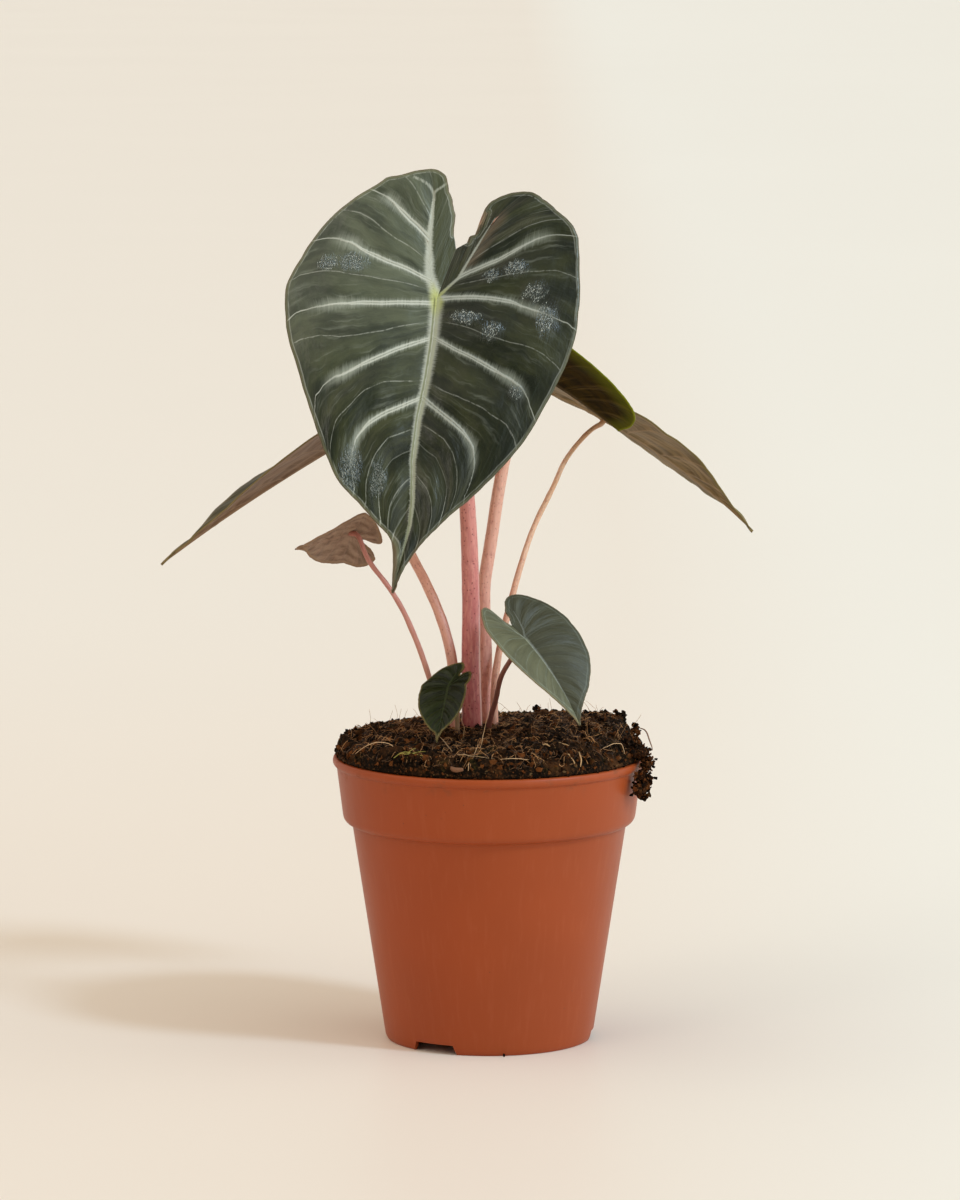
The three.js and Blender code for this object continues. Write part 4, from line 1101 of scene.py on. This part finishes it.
class PLANT_OT_strands(bpy.types.Operator):
    """Lays coir fibres and root threads on the mound"""
    bl_idname = "plant.strands"
    bl_label = "Strands"

    def execute(self, context):
        sizes = context.scene.plant_soil
        chance = random.Random(sizes.seed + 1)
        coir = fibre_material("coir", (200, 142, 86), (50, 29, 14))
        root = fibre_material("dry_root", (190, 148, 100), (130, 92, 56))
        for name, material, lying, standing, thickest in (
                ("coir_fibres", coir, sizes.strands, UPRIGHT_HAIRS, 0.14),
                ("root_threads", root, sizes.strands // 20, 0, None)):
            heap = Heap("tint")
            for _ in range(lying):
                line = lying_strand(chance)
                thick = chance.uniform(0.06, thickest) if thickest else 0.06
                radii = [0] + [thick] * (len(line) - 2) + [0]
                heap.mark(add_tube(heap.part, line, radii, 3), "tint", chance.random() ** 0.6)
            for _ in range(standing):
                line = upright_strand(chance)
                made = add_tube(heap.part, line, [0.07] * (len(line) - 1) + [0], 3)
                heap.mark(made, "tint", 0.4)
            bm = heap.finished()
            close_up(bm)
            make_piece(name, bm, material)
        for kind, (pale, deep) in THREAD_LOOKS.items():
            bm = bmesh.new()
            bm.verts.layers.float.new("tint")
            for points, thick, which in THREADS:
                if which == kind:
                    rings = np.linspace(0, len(points) - 1, 6 * len(points))
                    line = spline(points, rings)
                    line += 0.25 * np.stack([rough(line, 3, 1, seed) for seed in (1, 5, 9)], 1)
                    slim = np.sqrt(np.sin(np.linspace(0.05, 0.95, len(line)) * math.pi))
                    add_tube(bm, line, 0.78 * thick * slim, 6)
            make_piece(f"strand_{kind}", bm, fibre_material(kind, pale, deep))
        return {"FINISHED"}


# The leaves

EDGE_CROWDING, STALK_SIDES, STALK_TAPER = 1.15, 24, 0.6
STALK_FOOT, STALK_SHOULDER, STALK_SEAT = 107.5, 119.5, 0.5


def root_point(form, rib):
    roots = np.array(MIDRIB_ROOTS + FORMS[form][1], float)
    place = np.where(rib <= LOBE_RIB, rib, 2 * LOBE_RIB - rib)
    first = np.minimum(np.floor(place).astype(int), LOBE_RIB - 1)
    share = (place - first)[..., None]
    return roots[first] * (1 - share) + roots[first + 1] * share


def leaf_frame(leaf):
    attach, tip = np.array(leaf["attach"], float), np.array(leaf["tip"], float)
    chord = tip - attach
    half = math.radians(leaf["droop"]) / 2
    length = np.linalg.norm(chord) * half / math.sin(half)
    chord = unit(chord)
    above = np.array(leaf["facing"], float)
    above = unit(above - chord * (above @ chord))
    heading = chord * math.cos(half) + above * math.sin(half)
    normal = above * math.cos(half) - chord * math.sin(half)
    return dict(attach=attach, heading=heading, normal=normal, length=length,
                side=np.cross(normal, heading))


class HalfBlade:
    """One half of a blade, laid flat, in millimetres along and across from the stalk."""

    def __init__(self, name, side):
        self.leaf, self.side, self.half = LEAVES[name], side, 0 if side < 0 else 1
        self.shape = leaf_frame(self.leaf)
        self.length = self.shape["length"]
        self.form = self.leaf["forms"][self.half]
        self.scale = np.array((self.length, self.length * self.leaf["width"][self.half]))
        self.steps = MARGINS.get(name, ((0,) * HALF_RIBS,) * 2)[self.half]

    def root(self, rib):
        return root_point(self.form, rib) * self.scale

    def margin(self, rib):
        line = spline(FORMS[self.form][0], rib) * self.scale
        step = 0.02
        tangent = (spline(FORMS[self.form][0], np.minimum(rib + step, LAST_RIB))
                   - spline(FORMS[self.form][0], np.maximum(rib - step, 0))) * self.scale
        out = np.stack([tangent[..., 1], -tangent[..., 0]], -1)
        out = out / np.maximum(np.linalg.norm(out, axis=-1), 1e-9)[..., None]
        out = out * np.sign(((line - self.root(rib)) * out).sum(-1) + 1e-9)[..., None]
        stand = np.interp(rib, np.arange(HALF_RIBS) / 2, self.steps)
        for at_rib, lift, spread in self.leaf.get("nicks", {}).get(self.half, ()):
            stand = stand + lift * np.exp(-((rib - at_rib) / spread) ** 2)
        ends = np.minimum(1, np.minimum(rib, LAST_RIB - rib) * 2)
        ripple = np.sin(rib * 9.7 + self.side) + np.sin(rib * 23.1 + 1.3 * self.side)
        return line + out * ((stand + 0.05 * ripple) * ends)[..., None]

    def flat(self, rib, share):
        root = self.root(rib)
        reach = self.margin(rib) - root
        arch = RIB_ARCH * np.minimum((LAST_RIB - rib) / (LAST_RIB - LOBE_RIB + 1), 1) ** 2
        knee = np.stack([-reach[..., 1], reach[..., 0]], -1) * arch[..., None]
        knee = knee + reach * RIB_SWEEP
        part = share[..., None]
        return root + knee * 2 * part * (1 - part) + reach * part ** 2

    def vein_places(self, rib, share):
        """The rib count as the veins have it, which wander off the even ribs."""
        veins = VEINS[self.half] if "sway" in self.leaf else {}
        keys = sorted({*range(LAST_RIB + 1), *veins})
        lines = np.array([np.interp(share, VEIN_SHARES, veins[key]) if key in veins
                          else np.full(len(share), float(key)) for key in keys])
        placed = np.zeros(len(rib))
        for key, above, low, high in zip(keys, keys[1:], lines, lines[1:]):
            inside = (rib >= low) & (rib <= high)
            placed[inside] = (key + (above - key) * (rib - low) / (high - low))[inside]
        return placed

    def facts(self, rib, share):
        """What the relief and the material need to know of each point."""
        step = 1e-3
        flat = self.flat(rib, share)
        along_rib = (self.flat(rib, np.minimum(share + step, 1))
                     - self.flat(rib, np.maximum(share - step, 0)))
        low, high = np.maximum(rib - step, 0), np.minimum(rib + step, LAST_RIB)
        over = ((self.flat(high, share) - self.flat(low, share))
                / np.maximum(self.vein_places(high, share) - self.vein_places(low, share),
                             1e-9)[:, None])
        away = np.maximum(np.linalg.norm(along_rib, axis=1), 1e-9)
        gap = np.abs(over[:, 0] * along_rib[:, 1] - over[:, 1] * along_rib[:, 0]) / away
        dense = np.linspace(0, LAST_RIB, 440)
        crinkle = np.zeros(len(rib))
        u, v = flat[:, 0] / self.length, self.side * flat[:, 1] / self.length
        for at_u, at_v, tall, wide in self.leaf.get("crinkles", ()):
            near = ((u - at_u) / tall) ** 2 / 1.5 + ((v - at_v) / wide) ** 2 / 1.5
            crinkle = np.maximum(crinkle, np.exp(-near ** 1.5))
        fork = np.full(len(rib), 9.0)
        if self.side < 0:
            for line in self.leaf.get("forks", ()):
                places = spline(line, np.linspace(0, len(line) - 1, 40)) * self.length
                fork = np.minimum(fork, nearest(flat, places))
        return dict(
            rib=self.vein_places(rib, share), share=share, gap=gap, crinkle=crinkle, fork=fork,
            edge=nearest(flat, self.margin(dense[:-20])),
            middle=nearest(flat, self.root(np.linspace(0, LOBE_RIB, 320))), along=flat[:, 0],
            run=share * np.linalg.norm(self.margin(rib) - self.root(rib), axis=1),
            right=np.full(len(rib), float(self.half)))

    def relief(self, rib, share, facts):
        """How far the blade swells between its veins and waves and puckers."""
        leaf, fine = self.leaf, min(1.0, self.length / LONG_LEAF)
        veins = np.abs(facts["rib"] - np.rint(facts["rib"])) * facts["gap"]
        inside = np.minimum(share * 6, 1) * (1 - share ** 3)
        calm = 1 - 0.9 * smoothstep(rib, 7.5, 8.5)
        height = (calm * leaf["quilt"] * np.sin(np.pi * (facts["rib"] % 1)) ** 2
                  * np.sin(np.pi * share))
        height += leaf["wave"] * self.side * share ** 2 * np.sin(5 * np.pi * rib / LAST_RIB)
        grain = np.stack([facts["run"] * 0.4, facts["rib"] * 9,
                          np.full(len(rib), 3.0 * self.side)], 1)
        height += calm * fine * inside * 0.4 * rough(grain, 4.6, 2, 6.6)
        height -= calm * 0.3 * fine * np.exp(-(veins / 0.8) ** 2) * inside
        if "crumple" in leaf:
            spots = [facts["along"], self.side * facts["middle"], np.full(len(rib), 5.0)]
            height += (leaf["crumple"] * np.minimum(share * 3, 1)
                       * rough(np.stack(spots, 1), 13, 2, 1.9))
        folds = np.stack([facts["run"], facts["rib"] * 3.2, np.zeros(len(rib))], 1)
        return height + facts["crinkle"] * 0.55 * np.abs(rough(folds, 2.4, 2, 3.7))

    def bent(self, flat, height, share):
        """Places of flat points on the bent blade, in the plant's own frame."""
        leaf, shape = self.leaf, self.shape
        along, across = flat[:, 0], flat[:, 1] * self.side
        if "sway" in leaf:
            u, v = zip(*leaf["sway"])
            across = across + np.interp(along / self.length, u, v) * self.length * (1 - share)
        over = (across > 0) | ((across == 0) & (self.side > 0))
        side, across = np.where(over, 1.0, -1.0), np.abs(across)
        turn = np.radians(np.where(along < 0, leaf["back"], leaf["droop"])) / self.length
        fold = np.radians(np.where(over, leaf["fold"][1], leaf["fold"][0])
                          + side * leaf["twist"] * along / self.length)
        curl = np.radians(np.where(over, leaf["curl"][1], leaf["curl"][0])) / (self.length / 2)
        place = (shape["attach"] + (np.sin(turn * along) / turn)[:, None] * shape["heading"]
                 + ((np.cos(turn * along) - 1) / turn)[:, None] * shape["normal"])
        up = (np.cos(turn * along)[:, None] * shape["normal"]
              + np.sin(turn * along)[:, None] * shape["heading"])
        slope = fold + curl * across
        out = (np.sin(slope) - np.sin(fold)) / curl
        rise = (np.cos(fold) - np.cos(slope)) / curl
        shift = leaf["lean"] * np.maximum(-along, 0)
        return (place + (side * (out - height * np.sin(slope)) + shift)[:, None] * shape["side"]
                + (rise + height * np.cos(slope))[:, None] * up)

    def ridge(self, rib, share, facts):
        """How far the ribs stand out below."""
        seat = np.where(rib <= LOBE_RIB, rib, 2 * LOBE_RIB - rib)
        taper = np.minimum(seat / ATTACH_RIB, (LOBE_RIB - seat) / (LOBE_RIB - ATTACH_RIB))
        veins = np.abs(facts["rib"] - np.rint(facts["rib"])) * facts["gap"]
        small = 0.4 * min(1.0, self.length / LONG_LEAF) * np.exp(-(veins / 0.6) ** 2)
        return (RIB_HEIGHT * self.length * np.sqrt(np.maximum(taper, 0))
                * np.exp(-(facts["middle"] / 1.5) ** 2)
                + small * (1 - share) * np.minimum(share * 9, 1))


def nearest(points, line):
    """Distance from each point to the nearest of a dense line of points."""
    return np.sqrt(((points[:, None, :] - line[None]) ** 2).sum(-1)).min(1)


def lay_half(bm, name, side, ridge_of, layers):
    """Half a blade as one bent sheet, with its facts on the corners of its faces."""
    rows, columns = LEAVES[name]["fine"]
    sheet = bmesh.ops.create_grid(bm, x_segments=rows * LAST_RIB, y_segments=columns,
                                  size=0.5)["verts"]
    grid = places_of(sheet)
    rib = (grid[:, 0] + 0.5) * LAST_RIB
    share = (grid[:, 1] + 0.5) ** EDGE_CROWDING
    half = HalfBlade(name, side)
    facts = half.facts(rib, share)
    put(sheet, half.bent(half.flat(rib, share), half.relief(rib, share, facts), share))
    for vert, value in zip(sheet, half.ridge(rib, share, facts).tolist()):
        vert[ridge_of] = value
    row_of = {vert: row for row, vert in enumerate(sheet)}
    values = {fact: facts[fact].tolist() for fact in BLADE_FACTS}
    faces = {face for vert in sheet for face in vert.link_faces}
    for face in faces:
        for loop in face.loops:
            row = row_of[loop.vert]
            for fact in BLADE_FACTS:
                loop[layers[fact]] = values[fact][row]
    if side > 0:
        bmesh.ops.reverse_faces(bm, faces=list(faces))


class PLANT_OT_blades(bpy.types.Operator):
    """Makes the leaf blades with their ribs, quilting and thin waved margins"""
    bl_idname = "plant.blades"
    bl_label = "Leaf blades"

    def execute(self, context):
        half_thick = context.scene.plant_leaves.thickness / MM / 2
        for name, leaf in LEAVES.items():
            bm = bmesh.new()
            ridge_of = bm.verts.layers.float.new("ridge")
            row_of = bm.verts.layers.int.new("row")
            under = bm.verts.layers.float.new("under")
            layers = {fact: bm.loops.layers.float.new(fact) for fact in BLADE_FACTS}
            for side in (-1, 1):
                lay_half(bm, name, side, ridge_of, layers)
            bmesh.ops.remove_doubles(bm, verts=bm.verts[:], dist=1e-3)
            bmesh.ops.dissolve_degenerate(bm, dist=1e-5, edges=bm.edges[:])
            bm.normal_update()
            for row, vert in enumerate(bm.verts):
                vert[row_of] = row
            normals = [vert.normal.copy() for vert in bm.verts]
            below = bm.verts[:]
            made = bmesh.ops.extrude_face_region(bm, geom=bm.faces[:], use_keep_orig=True)["geom"]
            for vert in made:
                if isinstance(vert, bmesh.types.BMVert):
                    vert.co += normals[vert[row_of]] * half_thick
            for vert in below:
                vert[under] = 1
                vert.co -= normals[vert[row_of]] * (half_thick + vert[ridge_of])
            bmesh.ops.recalc_face_normals(bm, faces=bm.faces[:])
            look = {**COMMON_LOOK, **BLADE_LOOKS[name], "length": leaf_frame(leaf)["length"]}
            make_piece(f"leaf_{name}", bm, blade_material(name, look),
                       [f"blade_{name}"])
        return {"FINISHED"}


class LeafSizes(bpy.types.PropertyGroup):
    thickness: bpy.props.FloatProperty(
        name="Thickness", description="Thickness of a blade between its ribs",
        default=0.0005, min=0.0002, max=0.002, unit="LENGTH", subtype="DISTANCE")
    stalk_rings: bpy.props.IntProperty(
        name="Stalk rings", description="Rings along each stalk", default=60, min=8, max=200)


def stalk_path(leaf, rings):
    """A centripetal curve up out of the soil to the underside of the blade."""
    shape = leaf_frame(leaf)
    (x, y), *rest = leaf["stalk"]
    points = [(x, y, STALK_FOOT), (x, y, STALK_SHOULDER), *rest,
              shape["attach"] - shape["normal"] * leaf["bend"],
              shape["attach"] - shape["normal"] * STALK_SEAT]
    points = np.array(points, float)
    points = np.concatenate([[2 * points[0] - points[1]], points, [2 * points[-1] - points[-2]]])
    dense = []
    for before, here, after, beyond in zip(points, points[1:], points[2:], points[3:]):
        t0 = 0.0
        t1 = t0 + np.linalg.norm(here - before) ** 0.5
        t2 = t1 + np.linalg.norm(after - here) ** 0.5
        t3 = t2 + np.linalg.norm(beyond - after) ** 0.5
        for t in np.linspace(t1, t2, 24, endpoint=False):
            a1 = (t1 - t) / (t1 - t0) * before + (t - t0) / (t1 - t0) * here
            a2 = (t2 - t) / (t2 - t1) * here + (t - t1) / (t2 - t1) * after
            a3 = (t3 - t) / (t3 - t2) * after + (t - t2) / (t3 - t2) * beyond
            b1 = (t2 - t) / (t2 - t0) * a1 + (t - t0) / (t2 - t0) * a2
            b2 = (t3 - t) / (t3 - t1) * a2 + (t - t1) / (t3 - t1) * a3
            dense.append((t2 - t) / (t2 - t1) * b1 + (t - t1) / (t2 - t1) * b2)
    dense.append(points[-2])
    dense = np.array(dense)
    run = np.concatenate([[0], np.cumsum(np.linalg.norm(np.diff(dense, axis=0), axis=1))])
    places = np.linspace(0, run[-1], rings)
    return np.stack([np.interp(places, run, dense[:, axis]) for axis in range(3)], 1)


class PLANT_OT_stalks(bpy.types.Operator):
    """Makes the pink leaf stalks that rise out of the soil"""
    bl_idname = "plant.stalks"
    bl_label = "Stalks"

    def execute(self, context):
        rings = context.scene.plant_leaves.stalk_rings
        for name, leaf in LEAVES.items():
            path = stalk_path(leaf, rings)
            base, top = leaf["radii"]
            share = np.linspace(0, 1, rings)
            radii = base + (top - base) * share ** STALK_TAPER
            radii = radii * (1 + 0.25 * smoothstep(share, 0.93, 1))
            path = np.concatenate([path[:1], path, path[-1:]])
            radii = np.concatenate([[0], radii, [0]])
            bm = bmesh.new()
            layers = {fact: bm.verts.layers.float.new(fact) for fact in STALK_FACTS}
            add_tube(bm, path, radii, STALK_SIDES, layers)
            close_up(bm)
            swell = 0.12 * rough(places_of(bm.verts), 5, 2, 4.4)
            bm.normal_update()
            for vert, value in zip(bm.verts, swell.tolist()):
                vert.co += vert.normal * value
            make_piece(f"petiole_{name}", bm, stalk_material(name, *STALK_LOOKS[name]),
                       [f"stalk_{name}"])
        return {"FINISHED"}


# The stage

class StageSizes(bpy.types.PropertyGroup):
    key: bpy.props.FloatProperty(
        name="Key light", description="Strength of the soft light from the right",
        default=1.5, min=0, max=20)
    fill: bpy.props.FloatProperty(
        name="Fill light", description="Strength of the pale light from all round",
        default=1.0, min=0, max=5)
    floor_colour: bpy.props.FloatVectorProperty(
        name="Floor colour", description="Colour of the floor on a screen",
        default=(0.924, 0.872, 0.816), min=0, max=1, size=3, subtype="COLOR_GAMMA")


# Each sun: the way its light goes, its share of the key light, how wide it is in degrees and
# its colour
SUNS = {"key": ((-0.66, 0.4, -0.65), 1, 9, (0.54, 0.76, 1.0)),
        "side": ((0.6, 0.6, -0.5), 0.15, 20, (1.0, 0.93, 0.84))}
EYE, EYE_DEGREES, SENSOR, FOCAL_SHARE = (-0.00353, -2.3, 0.4792), 82.32, 36, 6086 / 1200
FLOOR_RADIUS = 30


def floor_material(colour):
    """Smooth pale floor, with painted light that makes it whiter at the back and on the right."""
    g = Graph("studio_floor")
    place = g.place()
    drift = g.noise(place, 1.5, 2)
    # painted light: a paler tone towards the back and on the right
    pale = g.math("MAXIMUM", g.smooth(g.part(place, 1), 0.1, 1.4) * 0.35,
                  g.smooth(g.part(place, 0), -0.05, 0.26) * 0.85)
    body = g.layers(
        g.mix(g.smooth(drift, 0.3, 0.7), tone(*colour), tone(*[part * 0.99 for part in colour])),
        (pale, tone(240, 238, 230)))
    return g.surface(body, 0.42 + (drift - 0.5) * 0.1, fixed={"Specular IOR Level": 0.2})


def add_world(scene, fill):
    """Warm light from the back, the left and above, and a wide cool panel on the right."""
    world = scene.world = bpy.data.worlds.new("studio")
    world.use_nodes = True
    g = Graph("studio", world.node_tree)
    way = g.node("ShaderNodeTexCoord", out=0)
    panel = g.smooth(g.towards(way, (0.92, -0.35, 0.14)), 0.3, 0.95) * 1.62
    above = g.smooth(g.towards(way, (-0.42, -0.15, 0.89)), 0.5, 1.0) * 0.86
    back = g.smooth(g.part(way, 1), -0.1, 0.9) * 0.35
    left = g.smooth(g.part(way, 0) * -1, 0.0, 0.9) * 0.4
    warm = g.node("ShaderNodeBackground", None, {
        "Color": (1.0, 0.9, 0.765, 1), "Strength": (0.13 + back + above + left) * fill})
    cool = g.node("ShaderNodeBackground", None, {
        "Color": (0.95, 0.97, 0.92, 1), "Strength": panel * fill})
    sky = g.node("ShaderNodeAddShader", None, {0: warm, 1: cool})
    g.node("ShaderNodeOutputWorld", None, {"Surface": sky})


def add_suns(scene, strength):
    for name, (way, share, spread, colour) in SUNS.items():
        light = bpy.data.lights.new(name, "SUN")
        light.energy = strength * share
        light.angle = math.radians(spread)
        light.color = colour
        lamp = bpy.data.objects.new(name, light)
        lamp.rotation_euler = Vector(way).to_track_quat("-Z", "Y").to_euler()
        scene.collection.objects.link(lamp)


def add_camera(scene):
    camera = bpy.data.cameras.new("camera")
    camera.sensor_fit = "AUTO"
    camera.sensor_width = SENSOR
    camera.lens = SENSOR * FOCAL_SHARE
    camera.clip_start, camera.clip_end = 0.1, 100
    eye = scene.camera = bpy.data.objects.new("camera", camera)
    eye.location = EYE
    eye.rotation_euler = (math.radians(EYE_DEGREES), 0, 0)
    scene.collection.objects.link(eye)


class PLANT_OT_stage(bpy.types.Operator):
    """Makes the pale floor, the soft lights and the camera"""
    bl_idname = "plant.stage"
    bl_label = "Stage"

    def execute(self, context):
        scene = context.scene
        sizes = scene.plant_stage
        bm = bmesh.new()
        bmesh.ops.create_circle(bm, cap_ends=True, segments=96, radius=FLOOR_RADIUS)
        colour = [part * 255 for part in sizes.floor_colour]
        floor = new_object("floor", bm, floor_material(colour))
        add_world(scene, sizes.fill)
        add_suns(scene, sizes.key)
        add_camera(scene)
        scene.view_settings.view_transform = "Standard"
        return {"FINISHED"}


class PLANT_PT_panel(bpy.types.Panel):
    """Lists the sizes and the makers of the plant's pieces"""
    bl_idname = "PLANT_PT_panel"
    bl_label = "Potted alocasia"
    bl_space_type = "VIEW_3D"
    bl_region_type = "UI"
    bl_category = "Alocasia"

    def draw(self, context):
        scene = context.scene
        for heading, group in (("Pot", scene.plant_pot), ("Soil", scene.plant_soil),
                               ("Leaves", scene.plant_leaves), ("Stage", scene.plant_stage)):
            box = self.layout.box()
            box.label(text=heading)
            for key in group.__annotations__:
                box.prop(group, key)
        for operator in OPERATORS:
            self.layout.operator(operator.bl_idname)


GROUPS = {"plant_pot": PotSizes, "plant_soil": SoilSizes, "plant_leaves": LeafSizes,
          "plant_stage": StageSizes}
OPERATORS = (PLANT_OT_stage, PLANT_OT_pot, PLANT_OT_soil, PLANT_OT_crumbs, PLANT_OT_strands,
             PLANT_OT_stalks, PLANT_OT_blades)


def register():
    for name, group in GROUPS.items():
        bpy.utils.register_class(group)
        setattr(bpy.types.Scene, name, bpy.props.PointerProperty(type=group))
    for operator in OPERATORS:
        bpy.utils.register_class(operator)
    bpy.utils.register_class(PLANT_PT_panel)


def unregister():
    bpy.utils.unregister_class(PLANT_PT_panel)
    for operator in reversed(OPERATORS):
        bpy.utils.unregister_class(operator)
    for name, group in GROUPS.items():
        delattr(bpy.types.Scene, name)
        bpy.utils.unregister_class(group)


def main():
    register()
    bpy.ops.plant.stage()
    bpy.ops.plant.pot()
    bpy.ops.plant.soil()
    bpy.ops.plant.crumbs()
    bpy.ops.plant.strands()
    bpy.ops.plant.stalks()
    bpy.ops.plant.blades()


if __name__ == "__main__":
    main()
